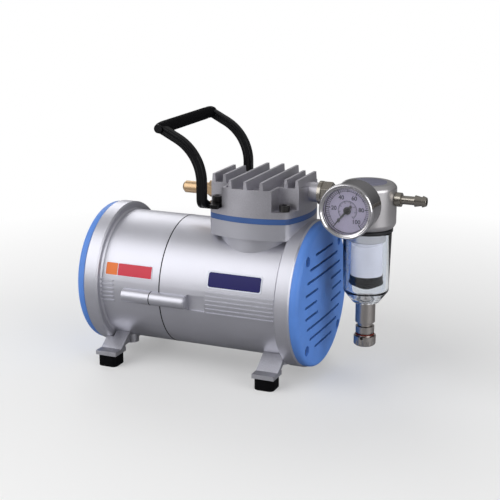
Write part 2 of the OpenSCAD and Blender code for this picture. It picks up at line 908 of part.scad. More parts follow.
// Two shielded ball bearings, split into outer and inner rings
module ring_pair(r_out, r_in) {
    for (x = [x_bulk_l, x_bulk_m]) difference() {
        bar_x(x, x + bearing_w, r_out);
        bar_x(x - cut, x + bearing_w + cut, r_in);
    }
}

module bearing_outer_rings() seated() color("silver") ring_pair(bearing_r, bearing_split_r + run);
module bearing_inner_rings() seated() color("lightgray") ring_pair(bearing_split_r, shaft_r + fit);

module motor_shaft() seated() color("lightgray") union() {
    bar_x(x_left + fan_gap - edge, x_right - fan_gap + edge, shaft_r);
    bar_x(x_stator0 - rotor_seat_over, x_stator1 + rotor_seat_over, rotor_seat_r);
}

module rotor_core() seated() color("gray") difference() {
    union() {
        bar_x(x_stator0, x_stator1, rotor_r);
        bar_x(x_stator0 - rotor_ring_w, x_stator1 + rotor_ring_w, rotor_ring_r);
    }
    bar_x(x_stator0 - winding_over, x_stator1 + winding_over, rotor_seat_r + fit);
}

// A fan of flat tilted blades on a hub, from one place on the shaft to another
module fan(x0, pitch) {
    difference() {
        union() {
            bar_x(x0, x0 + fan_w, fan_hub_r);
            intersection() {
                for (i = [0 : fan_blades - 1])
                    rotate([360 * i / fan_blades, 0, 0])
                        translate([x0 + fan_w / 2, fan_hub_r - fan_root, 0])
                            rotate([0, pitch, 0])
                                translate([-fan_w, 0, -fan_blade_t / 2])
                                    cube([2 * fan_w, fan_r, fan_blade_t]);
                bar_x(x0, x0 + fan_w, fan_r);
            }
        }
        bar_x(x0 - cut, x0 + fan_w + cut, shaft_r + fit);
    }
}

module left_fan() seated() color("dimgray") fan(x_left + fan_gap, fan_blade_pitch);
module right_fan() seated() color("dimgray") fan(x_right - fan_gap - fan_w, -fan_blade_pitch);

// Eccentric pin with its counterweight, clamped on the shaft
module crank_eccentric() seated() color("gray") difference() {
    union() {
        bar_x(-pin_w / 2, pin_w / 2 + crank_right_w, crank_right_r);
        translate([0, 0, throw]) bar_x(-pin_w / 2 - ecc_side_gap, pin_w / 2, pin_r);
        translate([0, 0, throw]) bar_x(-pin_w / 2 - ecc_side_gap - cut, -pin_w / 2, crank_hub_r);
        translate([-pin_w / 2 - ecc_side_gap - crank_left_w, 0, 0]) rotate([90, 0, 90])
            linear_extrude(crank_left_w) {
                circle(r = crank_hub_r);
                intersection() {
                    circle(r = counter_r);
                    translate([-counter_r, -counter_r]) square([2 * counter_r, counter_r - counter_chord]);
                }
            }
    }
    bar_x(-pin_w - crank_left_w, pin_w + crank_right_w, shaft_r + fit);
}

module big_end_inner_ring() seated() color("lightgray") translate([0, 0, throw]) difference() {
    bar_x(-pin_w / 2, pin_w / 2, big_inner_r);
    bar_x(-pin_w, pin_w, pin_r + fit);
}

module big_end_outer_ring() seated() color("silver") translate([0, 0, throw]) difference() {
    bar_x(-pin_w / 2, pin_w / 2, big_outer_r);
    bar_x(-pin_w, pin_w, big_inner_r + run);
}

// Rod with its eye round the big-end bearing and a round foot under the piston
module connecting_rod() seated() color("silver") difference() {
    union() {
        translate([0, 0, throw]) bar_x(-rod_w / 2, rod_w / 2, big_outer_r + rod_eye_wall);
        block(-rod_w / 2, rod_w / 2, -rod_web_half, rod_web_half, throw + big_outer_r, z_rod_top - cut);
        bar_z(z_rod_top - rod_foot_t, z_rod_top, rod_foot_r);
    }
    translate([0, 0, throw]) bar_x(-rod_w, rod_w, big_outer_r + fit);
    for (side = [-1, 1])
        block(min(side * rod_rib_half, side * rod_w), max(side * rod_rib_half, side * rod_w),
            -rod_web_half + rod_rib_half, rod_web_half - rod_rib_half,
            throw + big_outer_r + rod_eye_wall + edge, z_rod_top - rod_foot_t - edge);
    bar_z(z_rod_top - piston_screw_len, z_rod_top + cut, piston_screw_r + fit);
}

// Flexible cup that seals the piston, with its turned-up rim
module piston_cup() seated() color("ivory") difference() {
    bar_z(z_rod_top, z_cup + cup_skirt_h, piston_r);
    bar_z(z_cup, z_cup + cup_skirt_h + cut, piston_r - cup_t);
    bar_z(z_rod_top - cut, z_cup + cut, piston_screw_r + fit);
}

module piston_clamp() seated() color("silver") difference() {
    bar_z(z_cup, z_piston_top, piston_clamp_r);
    bar_z(z_cup - cut, z_piston_top + cut, piston_screw_r + fit);
    bar_z(z_piston_top - piston_screw_head_h, z_piston_top + cut, piston_screw_head_r + fit);
}

module piston_screw() seated() color("dimgray") difference() {
    union() {
        bar_z(z_piston_top - piston_screw_head_h, z_piston_top - fit, piston_screw_head_r);
        bar_z(z_rod_top - piston_screw_len + fit, z_piston_top - piston_screw_head_h, piston_screw_r);
    }
    translate([0, 0, z_piston_top - piston_screw_head_h / 2])
        cylinder(h = piston_screw_head_h, r = hex_key_r, $fn = 6);
}

module cylinder_sleeve() seated() color("lightgray") difference() {
    union() {
        bar_z(z_deck - sleeve_len, z_deck, sleeve_r);
        bar_z(z_deck - sleeve_lip_h + fit, z_deck, sleeve_lip_r);
    }
    bar_z(z_deck - sleeve_len - cut, z_deck + cut, bore_r);
}

// Plate between cylinder and head, with an inlet and an outlet port
module valve_plate() seated() color("royalblue") difference() {
    translate([0, 0, z_deck]) linear_extrude(valve_plate_t) head_plan();
    on_bolts() bar_z(z_deck - cut, z_plate + cut, head_bolt_r + fit);
    for (x = [-reed_x, reed_x]) translate([x, 0, 0]) {
        translate([0, reed_port_off, 0]) bar_z(z_deck - cut, z_plate + cut, reed_port_r);
        translate([0, -reed_screw_y, 0]) bar_z(z_reed_in + fit, z_plate - reed_t, reed_screw_r + fit);
    }
    translate([-reed_x, -reed_screw_y, 0]) bar_z(z_plate - reed_screw_len, z_plate + cut, reed_screw_r + fit);
    translate([reed_x, -reed_screw_y, 0]) bar_z(z_deck - cut, z_deck + reed_screw_len, reed_screw_r + fit);
    block(reed_x - reed_w / 2 - reed_pocket_side, reed_x + reed_w / 2 + reed_pocket_side,
        -reed_l / 2 - reed_pocket_side, reed_l / 2 + reed_pocket_side,
        z_deck - cut, z_deck + reed_pocket_deep);
}

// Thin spring tongue with a rounded tip and a hole round its screw
module reed(z) translate([0, 0, z]) linear_extrude(reed_t) difference() {
    union() {
        translate([-reed_w / 2, -reed_l / 2]) square([reed_w, reed_l - reed_w / 2]);
        translate([0, reed_l / 2 - reed_w / 2]) circle(r = reed_w / 2);
    }
    translate([0, -reed_screw_y]) circle(r = reed_screw_r + gap);
}

module intake_reed() seated() color("lightsteelblue") translate([reed_x, 0, 0]) reed(z_reed_in - reed_t);
module exhaust_reed() seated() color("lightsteelblue") translate([-reed_x, 0, 0]) reed(z_plate + run);

module reed_screws() seated() color("dimgray") union() {
    translate([reed_x, -reed_screw_y, 0]) {
        bar_z(z_reed_in - reed_t - gap - reed_screw_head_h, z_reed_in - reed_t - gap, reed_screw_head_r);
        bar_z(z_reed_in - reed_t - gap, z_deck + reed_screw_len - fit, reed_screw_r);
    }
    translate([-reed_x, -reed_screw_y, 0]) {
        bar_z(z_plate + run + reed_t + gap, z_plate + run + reed_t + gap + reed_screw_head_h, reed_screw_head_r);
        bar_z(z_plate - reed_screw_len + fit, z_plate + run + reed_t + gap, reed_screw_r);
    }
}

// Cross shape of the head's block: the outline with four corner recesses
module head_cross(inset = 0) {
    intersection() {
        head_plan(inset);
        union() {
            square([2 * head_arm - 2 * inset, 2 * head_corner_r], center = true);
            square([2 * head_corner_r, 2 * head_arm - 2 * inset], center = true);
        }
    }
}

// One cooling fin across the head, tapered towards its tip
module head_fin(x, half) {
    translate([x, half, 0]) rotate([90, 0, 0]) linear_extrude(2 * half) polygon([
        [-fin_base_t / 2, z_block - valley_deep - fit], [fin_base_t / 2, z_block - valley_deep - fit],
        [fin_tip_t / 2, z_fin], [-fin_tip_t / 2, z_fin]
    ]);
}

module head_fins() {
    intersection() {
        union() {
            for (i = [-1 : 1]) head_fin(i * fin_pitch, head_half);
            for (x = [2 * fin_pitch, 2 * fin_pitch + outer_fin_step], side = [-1, 1])
                head_fin(side * x, head_arm - edge / 2);
        }
        translate([0, 0, z_lip]) linear_extrude(z_fin - z_lip) head_plan();
    }
}

module cylinder_head() seated() color("silver") difference() {
    union() {
        translate([0, 0, z_plate]) linear_extrude(head_lip_h) head_plan();
        difference() {
            translate([0, 0, z_lip - fit]) linear_extrude(head_block_h + fit) head_cross();
            translate([0, 0, z_block - valley_deep]) linear_extrude(valley_deep + cut) head_cross(rim_w);
        }
        head_fins();
        translate([0, 0, port_h]) bar_x(chamber_x1 + rim_w, x_boss_face, intake_boss_r);
    }
    for (side = [-1, 1])
        block(min(side * chamber_x0, side * chamber_x1), max(side * chamber_x0, side * chamber_x1),
            -chamber_half, chamber_half, z_plate - cut, z_plate + chamber_h);
    on_bolts() bar_z(z_plate - cut, z_lip + cut, head_bolt_r + fit);
    translate([0, 0, port_h]) {
        bar_x(x_boss_face - port_seat_deep, x_boss_face + cut, port_seat_r + fit);
        bar_x(chamber_x1 - port_seat_deep, x_boss_face, port_bore_r);
    }
    translate([0, 0, exhaust_h]) {
        bar_x(-head_half - cut, -head_half + port_seat_deep, port_seat_r + fit);
        bar_x(-head_half, -chamber_x1 + cut, port_bore_r);
    }
}

// Socket bolts of the head; the two left ones also hold the handle
module head_bolts() seated() color("silver") on_bolts_apart();

module on_bolts_apart() {
    for (x = [-bolt_off, bolt_off], y = [-bolt_off, bolt_off]) {
        z = z_lip + (x < 0 ? handle_tab_t : 0);
        translate([x, y, 0]) difference() {
            union() {
                bar_z(z, z + head_bolt_head_h, head_bolt_head_r);
                bar_z(z_deck - deck_t + edge, z, head_bolt_r);
            }
            translate([0, 0, z + head_bolt_head_h - hex_key_deep])
                cylinder(h = head_bolt_head_h, r = hex_key_r * hex_big_share, $fn = 6);
        }
    }
}

// Side view of a handle arm: upright, bend and sloping end, of a given half width
module handle_path(half, foot_z, past) {
    translate([-handle_x - half, foot_z]) square([2 * half, bend_z - foot_z + fit]);
    translate([bend_x, bend_z]) intersection() {
        difference() {
            circle(r = handle_bend_r + half);
            circle(r = handle_bend_r - half);
        }
        polygon([
            [0, 0], [2 * handle_bend_r, 0], [2 * handle_bend_r, 2 * handle_bend_r],
            [2 * handle_bend_r * cos(handle_bend), 2 * handle_bend_r * sin(handle_bend)]
        ]);
    }
    translate([bend_x, bend_z]) rotate(handle_bend)
        translate([handle_bend_r - half, -fit]) square([2 * half, handle_reach + past + fit]);
}

// One arm at the front, its foot turned inward under the head bolt
module handle_arm() {
    difference() {
        union() {
            translate([0, -handle_half + handle_bar / 2, 0]) rotate([90, 0, 0])
                linear_extrude(handle_bar) handle_path(handle_bar / 2, z_lip, handle_bar / 2);
            block(-bolt_off - handle_tab_r, -bolt_off + handle_tab_r, -handle_half, -bolt_off,
                z_lip, z_lip + handle_tab_t);
            translate([-bolt_off, -bolt_off, 0]) bar_z(z_lip, z_lip + handle_tab_t, handle_tab_r);
        }
        for (y = [-handle_half - handle_bar / 2 + handle_groove_deep, -handle_half + handle_bar / 2 + cut])
            translate([0, y, 0]) rotate([90, 0, 0])
                linear_extrude(handle_groove_deep + cut)
                    handle_path(handle_groove_w / 2, z_lip + handle_bar, -handle_bar);
        translate([-bolt_off, -bolt_off, 0]) bar_z(z_lip - cut, z_lip + handle_tab_t + cut, head_bolt_r + fit);
        translate([grip_x, 0, grip_z]) bar_y(-handle_half - handle_bar, 0, handle_screw_r + fit);
    }
}

module handle_front_arm() seated() color("dimgray") handle_arm();
module handle_rear_arm() seated() color("dimgray") mirror([0, 1, 0]) handle_arm();

module handle_grip() seated() color("dimgray") translate([grip_x, 0, grip_z]) difference() {
    bar_y(-handle_half + handle_bar / 2, handle_half - handle_bar / 2, grip_r);
    on_both_sides()
        bar_y(-handle_half - handle_bar, -handle_half - handle_bar / 2 + handle_screw_len + fit, handle_screw_r + fit);
}

module handle_screws() seated() color("dimgray") translate([grip_x, 0, grip_z]) on_both_sides()
    translate([0, -handle_half - handle_bar / 2, 0]) {
        bar_y(-handle_screw_head_h, 0, handle_screw_head_r);
        bar_y(0, handle_screw_len, handle_screw_r);
    }

// Exhaust muffler on the left of the head
module exhaust_muffler() seated() color("goldenrod") translate([-head_half, 0, exhaust_h]) difference() {
    union() {
        bar_x(0, port_seat_deep - fit, port_seat_r);
        translate([-muffler_hex_w, 0, 0]) rotate([0, 90, 0])
            cylinder(h = muffler_hex_w, r = muffler_hex_r, $fn = 6);
        turned_x([
            [0, -muffler_hex_w], [muffler_r, -muffler_hex_w],
            [muffler_r, -muffler_hex_w - muffler_len + muffler_round],
            [muffler_r - muffler_round, -muffler_hex_w - muffler_len], [0, -muffler_hex_w - muffler_len]
        ]);
    }
    bar_x(-muffler_hex_w - muffler_len + muffler_round, port_seat_deep + cut, port_bore_r);
}

// Threaded nipple that carries the trap on the head
module intake_nipple() seated() color("silver") translate([0, 0, port_h]) difference() {
    union() {
        bar_x(x_boss_face - port_seat_deep + fit, trap_x - trap_r + port_seat_deep - fit, port_seat_r);
        bar_x(x_boss_face, x_boss_face + nipple_collar_w, nipple_hex_r);
        translate([x_boss_face + nipple_collar_w, 0, 0]) rotate([0, 90, 0])
            cylinder(h = nipple_hex_w, r = nipple_hex_r, $fn = 6);
    }
    bar_x(x_boss_face - port_seat_deep - cut, trap_x, nipple_bore_r);
}

// A body turned about Z: its points are [radius, height]
module turned_z(points) {
    rotate_extrude() polygon(points);
}

module trap_head() seated() color("silver") translate([trap_x, 0, 0]) difference() {
    union() {
        turned_z([
            [0, z_trap_low], [trap_r - trap_chin_in, z_trap_low], [trap_r, z_trap_low + trap_chin],
            [trap_r, z_trap_top - trap_crown], [trap_r - trap_crown, z_trap_top], [0, z_trap_top]
        ]);
        bar_z(z_spigot, z_trap_low + cut, spigot_r);
    }
    translate([0, 0, port_h]) {
        bar_x(-trap_r - cut, -trap_r + port_seat_deep, port_seat_r + fit);
        bar_x(-trap_r - cut, trap_duct_r / 2, trap_duct_r);
        bar_x(trap_r - port_seat_deep, trap_r + cut, port_seat_r + fit);
        bar_x(trap_drop_x - 2 * trap_drop_r, trap_r + cut, trap_duct_r);
        bar_y(-trap_r - cut, -trap_r + port_seat_deep, port_seat_r + fit);
        bar_y(-trap_r - cut, 0, trap_drop_r);
    }
    translate([trap_drop_x, 0, 0]) bar_z(z_spigot - cut, port_h, trap_drop_r);
    translate([-trap_rise_x, 0, 0]) bar_z(z_spigot - cut, port_h, trap_drop_r);
    bar_z(z_spigot - cut, z_spigot + filter_post_bite, filter_post_r + fit);
}

module filter_element() seated() color("ivory") translate([trap_x, 0, 0]) difference() {
    bar_z(z_filter, z_spigot, filter_r);
    bar_z(z_filter - cut, z_spigot + cut, filter_bore_r);
}

// Cap under the filter with drip vanes and the post that holds it
module filter_baffle() seated() color("dimgray") translate([trap_x, 0, 0]) union() {
    bar_z(z_filter - filter_cap_t, z_filter, baffle_r);
    bar_z(z_filter - cut, z_spigot + filter_post_bite - fit, filter_post_r);
    intersection() {
        union() {
            block(-baffle_r, baffle_r, -baffle_vane_t / 2, baffle_vane_t / 2,
                z_filter - baffle_h, z_filter - cut);
            block(-baffle_vane_t / 2, baffle_vane_t / 2, -baffle_r, baffle_r,
                z_filter - baffle_h, z_filter - cut);
        }
        bar_z(z_filter - baffle_h, z_filter, baffle_r - edge);
    }
}

module bowl_collar() seated() color("dimgray") translate([trap_x, 0, 0]) difference() {
    bar_z(z_collar - collar_h, z_collar, bowl_top_r + collar_lap);
    bar_z(z_collar - collar_h - cut, z_collar + cut, spigot_r + gap);
}

// Clear bowl, tapered downward to the drain
module trap_bowl() seated() color("lightcyan") translate([trap_x, 0, 0]) turned_z([
    [bowl_top_r, z_bowl_top], [bowl_low_r, z_bowl_low], [bowl_neck_r, z_neck],
    [drain_seat_r + fit, z_neck], [drain_seat_r + fit, z_neck + bowl_floor],
    [bowl_neck_r - bowl_wall, z_neck + bowl_floor], [bowl_low_r - bowl_wall, z_bowl_low + edge],
    [bowl_top_r - bowl_wall, z_bowl_top]
]);

module drain_body() seated() color("dimgray") translate([trap_x, 0, 0]) difference() {
    union() {
        bar_z(z_neck - cut, z_neck + bowl_floor, drain_seat_r);
        bar_z(z_drain_low, z_neck, drain_r);
        bar_z(z_drain_low - drain_waist_h, z_drain_low + cut, drain_waist_r);
        bar_z(z_stem_low, z_drain_low, drain_stem_r);
    }
    bar_z(z_stem_low - cut, z_neck, needle_r + run);
    bar_z(z_neck - cut, z_neck + bowl_floor + cut, drain_hole_r);
}

module drain_needle() seated() color("silver") translate([trap_x, 0, 0]) union() {
    bar_z(z_neck - needle_h, z_neck - gap - needle_tip_h, needle_r);
    cone_z(z_neck - gap - needle_tip_h, z_neck - gap, needle_r, needle_tip_r);
}

module drain_knob() seated() color("dimgray") translate([trap_x, 0, 0]) difference() {
    turned_z([
        [0, z_knob_top - knob_h], [knob_r - edge, z_knob_top - knob_h],
        [knob_r, z_knob_top - knob_h + edge], [knob_r, z_knob_top - knob_band_h - drain_waist_h],
        [knob_waist_r - edge, z_knob_top - knob_band_h - drain_waist_h],
        [knob_waist_r - edge, z_knob_top - knob_band_h], [knob_waist_r, z_knob_top - knob_band_h],
        [knob_waist_r, z_knob_top], [0, z_knob_top]
    ]);
    bar_z(z_knob_top - knob_bore_h, z_knob_top + cut, drain_stem_r + gap);
    for (a = [0 : 90 : 270]) rotate(a)
        translate([0, 0, z_knob_top - knob_bore_h + drain_hole_r]) bar_x(0, knob_r + cut, drain_hole_r);
    for (i = [0 : knob_flutes - 1]) rotate(360 * (i + fit) / knob_flutes)
        translate([knob_r + knob_flute_out, 0, 0])
            bar_z(z_knob_top - knob_h - cut, z_knob_top - knob_bore_h - edge, knob_flute_r);
}

// Barbed hose tail that turns about X and screws into the trap's head
module hose_barb() seated() color("silver") translate([0, 0, port_h]) difference() {
    turned_x([
        [0, trap_x + trap_r - port_seat_deep + fit], [port_seat_r, trap_x + trap_r - port_seat_deep + fit],
        [port_seat_r, x_barb], [barb_collar_r, x_barb], [barb_collar_r, x_barb + barb_collar_w],
        [barb_stem_r, x_barb + barb_collar_w], [barb_stem_r, x_high - barb_tip_w - barb_pitch],
        [barb_tip_r, x_high - barb_tip_w - barb_pitch], [barb_stem_r, x_high - barb_tip_w],
        [barb_tip_r, x_high - barb_tip_w], [barb_stem_r, x_high], [0, x_high]
    ]);
    bar_x(trap_x, x_high + cut, barb_bore_r);
}

// The gauge's axis runs along Y through the port's height
module on_gauge() {
    translate([trap_x, 0, port_h]) children();
}

// A ring about Y
module ring_y(y0, y1, r_out, r_in) {
    difference() {
        bar_y(y0, y1, r_out);
        bar_y(y0 - cut, y1 + cut, r_in);
    }
}

module gauge_case() seated() color("silver") on_gauge() union() {
    ring_y(y_lens + lens_t, y_gauge_back, gauge_case_r, gauge_case_r - gauge_wall);
    ring_y(y_dial + dial_t, y_gauge_back, gauge_case_r - gauge_wall + fit, gauge_case_r - gauge_wall - gauge_step);
    bar_y(y_gauge_back - gauge_wall, y_gauge_back, gauge_case_r - gauge_wall);
    ring_y(y_dial + gauge_post_gap, y_gauge_back, gauge_post_r, spindle_r + gap);
    bar_y(y_gauge_back - gauge_wall, -trap_r + port_seat_deep - fit, port_seat_r);
    translate([0, y_gauge_back, 0]) rotate([-90, 0, 0])
        cylinder(h = gauge_hex_w, r = gauge_hex_r, $fn = 6);
}

module gauge_dial() seated() color("white") on_gauge()
    ring_y(y_dial, y_dial + dial_t, gauge_case_r - gauge_wall - fit, spindle_hole_r);

module gauge_lens() seated() color("lightcyan") on_gauge()
    bar_y(y_lens, y_lens + lens_t, gauge_case_r - fit);

module gauge_bezel() seated() color("silver") on_gauge() union() {
    ring_y(y_gauge_front, y_lens, bezel_r, gauge_case_r - bezel_lip);
    ring_y(y_lens - fit, y_gauge_front + bezel_w, bezel_r, gauge_case_r + fit);
}

// Pointer with its spindle, resting low on the left
module gauge_pointer() seated() color("firebrick") on_gauge() union() {
    bar_y(y_dial - pointer_lift - pointer_t, y_dial - pointer_lift, pointer_hub_r);
    bar_y(y_dial - pointer_lift, y_dial + spindle_len, spindle_r);
    translate([0, y_dial - pointer_lift, 0]) rotate([90, pointer_rest, 0]) linear_extrude(pointer_t)
        polygon([
            [-pointer_tail, -pointer_half], [-pointer_tail, pointer_half],
            [pointer_len, pointer_half * pointer_tip_share], [pointer_len, -pointer_half * pointer_tip_share]
        ]);
}

// Rounded rectangle between two places along X and Z, seen from the rear
module box_face(inset) {
    x0 = -box_x0 + inset;
    x1 = -box_x1 - inset;
    z0 = box_z0 + inset;
    z1 = box_z1 - inset;
    r = box_corner - inset / 2;
    translate([x0, z0 + r]) square([x1 - x0, z1 - z0 - 2 * r]);
    translate([x0 + r, z0]) square([x1 - x0 - 2 * r, z1 - z0]);
    for (x = [x0 + r, x1 - r], z = [z0 + r, z1 - r]) translate([x, z]) circle(r = r);
}

// Extrudes a face of X and Z along Y
module along_y(y0, y1) {
    translate([0, y1, 0]) rotate([90, 0, 0]) linear_extrude(y1 - y0) children();
}

module switch_box() seated() color("dimgray") difference() {
    union() {
        difference() {
            along_y(bore_body_r * window_ring_share, box_y) box_face(0);
            along_y(0, box_y - box_wall) box_face(box_wall);
        }
        block(-switch_x - switch_w / 2 - switch_lug, -switch_x + switch_w / 2 + switch_lug,
            box_y - box_wall - switch_lug_y, box_y - cut,
            switch_z - switch_lug, switch_z + switch_lug);
    }
    bar_x(-box_x0 - cut, -box_x1 + cut, body_r + fit);
    block(-switch_x - switch_w / 2, -switch_x + switch_w / 2, box_y - box_wall - switch_deep, box_y + cut,
        switch_z - switch_l / 2, switch_z + switch_l / 2);
    translate([0, box_y - switch_pivot_in, switch_z])
        bar_x(-switch_x - switch_w / 2 - switch_pin_len, -switch_x + switch_w / 2 + switch_pin_len,
            switch_pin_r + run);
    translate([-gland_x, 0, gland_z]) bar_y(box_y - box_wall - cut, box_y + cut, gland_r + fit);
}

// Rocker with its two pivot pins, seen along the shaft
module power_switch() seated() color("black") translate([-switch_x, box_y - switch_pivot_in, switch_z]) union() {
    translate([-switch_w / 2 + gap, 0, 0]) rotate([switch_tilt, 0, 0]) rotate([90, 0, 90])
        linear_extrude(switch_w - 2 * gap) polygon([
            [-rocker_root_y, -rocker_root], [-rocker_root_y / 2, -rocker_half],
            [rocker_tip_y, -rocker_half], [rocker_mid_y, 0], [rocker_tip_y, rocker_half],
            [-rocker_root_y / 2, rocker_half], [-rocker_root_y, rocker_root]
        ]);
    bar_x(-switch_w / 2 - switch_pin_len + gap, switch_w / 2 + switch_pin_len - gap, switch_pin_r);
}

module cord_gland() seated() color("dimgray") translate([-gland_x, 0, gland_z]) difference() {
    union() {
        bar_y(box_y - box_wall - gland_len, box_y + gland_nut_h, gland_r);
        translate([0, box_y, 0]) rotate([-90, 0, 0]) cylinder(h = gland_nut_h, r = gland_nut_r, $fn = 6);
        bar_y(box_y + gland_nut_h - cut, box_y + gland_nut_h + gland_len, gland_r);
    }
    bar_y(box_y - box_wall - gland_len - cut, box_y + gland_nut_h + gland_len + cut, gland_bore_r);
}

module run_capacitor() seated() color("gainsboro")
    block(-capacitor_x, -capacitor_x + capacitor_l, box_y - box_wall - capacitor_w, box_y - box_wall,
        capacitor_z, capacitor_z + capacitor_h);

motor_housing();
crankcase();
housing_screws();
left_fan_cover();
right_fan_cover();
cover_screws();
left_leg();
right_leg();
leg_screws();
foot_screws();
front_left_foot();
front_right_foot();
rear_left_foot();
rear_right_foot();
stator_core();
stator_windings();
bearing_outer_rings();
cylinder_sleeve();
valve_plate();
intake_reed();
exhaust_reed();
reed_screws();
cylinder_head();
head_bolts();
handle_front_arm();
handle_rear_arm();
handle_grip();
handle_screws();
exhaust_muffler();
intake_nipple();
trap_head();
hose_barb();
filter_element();
filter_baffle();
bowl_collar();
trap_bowl();
drain_body();
drain_knob();
drain_needle();
gauge_case();
gauge_dial();
gauge_lens();
gauge_bezel();
gauge_pointer();
switch_box();
cord_gland();
run_capacitor();
power_switch();
motor_shaft();
rotor_core();
left_fan();
right_fan();
crank_eccentric();
bearing_inner_rings();
big_end_inner_ring();
connecting_rod();
big_end_outer_ring();
piston_cup();
piston_clamp();
piston_screw();
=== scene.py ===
# %% [markdown]
# # An oil-free vacuum pump
#
# A tubular pump with blue slotted covers, a finned aluminium head, a bent
# carrying handle, a round gauge and a clear moisture trap. The metalwork comes
# from a packed CAD model and keeps its places. Blender rounds its edges, gives
# it its finishes and adds the small things that a drawing leaves out: plates,
# dial print, grip ribs.

# %% Load the fixed frame
import json
import math

import bmesh
import bpy
from mathutils import Matrix, Vector


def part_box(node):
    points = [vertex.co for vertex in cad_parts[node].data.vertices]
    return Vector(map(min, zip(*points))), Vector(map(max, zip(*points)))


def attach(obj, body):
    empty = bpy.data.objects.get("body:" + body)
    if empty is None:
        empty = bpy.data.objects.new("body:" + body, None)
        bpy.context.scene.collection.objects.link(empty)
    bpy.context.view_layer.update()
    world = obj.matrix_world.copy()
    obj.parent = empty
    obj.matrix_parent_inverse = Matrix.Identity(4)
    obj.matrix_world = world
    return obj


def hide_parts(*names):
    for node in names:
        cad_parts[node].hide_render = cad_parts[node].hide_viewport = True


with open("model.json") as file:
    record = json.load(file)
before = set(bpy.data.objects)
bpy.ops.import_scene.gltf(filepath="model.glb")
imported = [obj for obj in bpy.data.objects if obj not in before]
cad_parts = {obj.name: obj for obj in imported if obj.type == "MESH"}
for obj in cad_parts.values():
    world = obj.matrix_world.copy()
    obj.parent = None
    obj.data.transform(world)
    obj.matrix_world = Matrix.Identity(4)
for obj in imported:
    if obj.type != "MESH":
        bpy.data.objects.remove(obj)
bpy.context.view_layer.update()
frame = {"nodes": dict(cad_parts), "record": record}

# %% [markdown]
# ## Places on the pump
#
# Most sizes on this pump are told from two lines: the shaft, and the cylinder's
# upright axis over it. `place` turns such a measure, in millimetres, into the
# model's own metres.

# %% Units and the pump's own axes
MM = 0.001
CYLINDER_X = 5.4
SHAFT_Y = -7.0
SHAFT_Z = 69.0


def place(x, y, z):
    """A point measured in mm from the shaft under the cylinder, in the model's metres."""
    return Vector(((x + CYLINDER_X) * MM, (y + SHAFT_Y) * MM, (z + SHAFT_Z) * MM))


print("shaft height:", SHAFT_Z * MM, "m")

# %% [markdown]
# ## The camera
#
# The photograph looks along the pump from its front right, a little from above.
# The angles, the distance and the lens were solved from the round rims, whose
# ellipses show how far the view is turned and tilted. The lens is the focal
# length in the photograph's pixels, told as a share of the frame's width.

# %% Camera at the photograph's angle
VIEW_TURN = math.radians(23.1)
VIEW_TILT = math.radians(15.21)
VIEW_DISTANCE = 1000.0
VIEW_RIGHT = 37.73
VIEW_UP = -33.83
AIM_X = 28.0
SENSOR = 36.0
FOCAL_PIXELS = 1210
FRAME_PIXELS = 500
NEAREST = 0.01

turn_sin, turn_cos = math.sin(VIEW_TURN), math.cos(VIEW_TURN)
tilt_sin, tilt_cos = math.sin(VIEW_TILT), math.cos(VIEW_TILT)
right = Vector((turn_cos, turn_sin, 0))
up = Vector((-turn_sin * tilt_sin, turn_cos * tilt_sin, tilt_cos))
back = right.cross(up)
eye = -VIEW_RIGHT * right - VIEW_UP * up + VIEW_DISTANCE * back

camera = bpy.data.objects.new("camera", bpy.data.cameras.new("camera"))
camera.data.sensor_width = SENSOR
camera.data.lens = SENSOR * (FOCAL_PIXELS / FRAME_PIXELS)
camera.data.clip_start = NEAREST
facing = Matrix((right, up, back)).transposed().to_4x4()
camera.matrix_world = Matrix.Translation(place(eye.x + AIM_X, eye.y, eye.z)) @ facing
bpy.context.scene.collection.objects.link(camera)
bpy.context.scene.camera = camera
print("lens:", round(camera.data.lens, 1), "mm at", [round(v, 3) for v in camera.location])

# %% [markdown]
# ## Sums on shader sockets
#
# A finish is mostly sums: a noise times a strength plus a base. Wiring each Math
# node by hand hides the sum, so this small class wraps a socket and lets the sum
# be written as Python.

# %% A socket that can be added and multiplied
class Signal:
    """One output of a node, with the operators that add Math nodes."""

    def __init__(self, finish, socket):
        self.finish = finish
        self.socket = socket

    def maths(self, operation, *values):
        return self.finish.node("ShaderNodeMath", {"operation": operation}, dict(enumerate(values)))

    def __add__(self, other):
        return self.maths("ADD", self, other)

    def __mul__(self, other):
        return self.maths("MULTIPLY", self, other)

    __radd__ = __add__
    __rmul__ = __mul__

    def over(self, low, high):
        """0 below low, 1 above high, and a straight ramp between."""
        sockets = {"Value": self, "From Min": low, "From Max": high}
        return self.finish.node("ShaderNodeMapRange", {"clamp": True}, sockets)


print("beside + and *, a signal has:", [name for name in vars(Signal) if not name.startswith("_")])

# %% [markdown]
# ## One material and its nodes
#
# Every finish on the pump starts from the Principled shader and differs in what
# varies its colour, its roughness and its fine relief. `Finish` keeps one
# material's nodes together, so that each finish below is a few lines long. Its
# noises read object coordinates, in metres, so their grain has a real size.

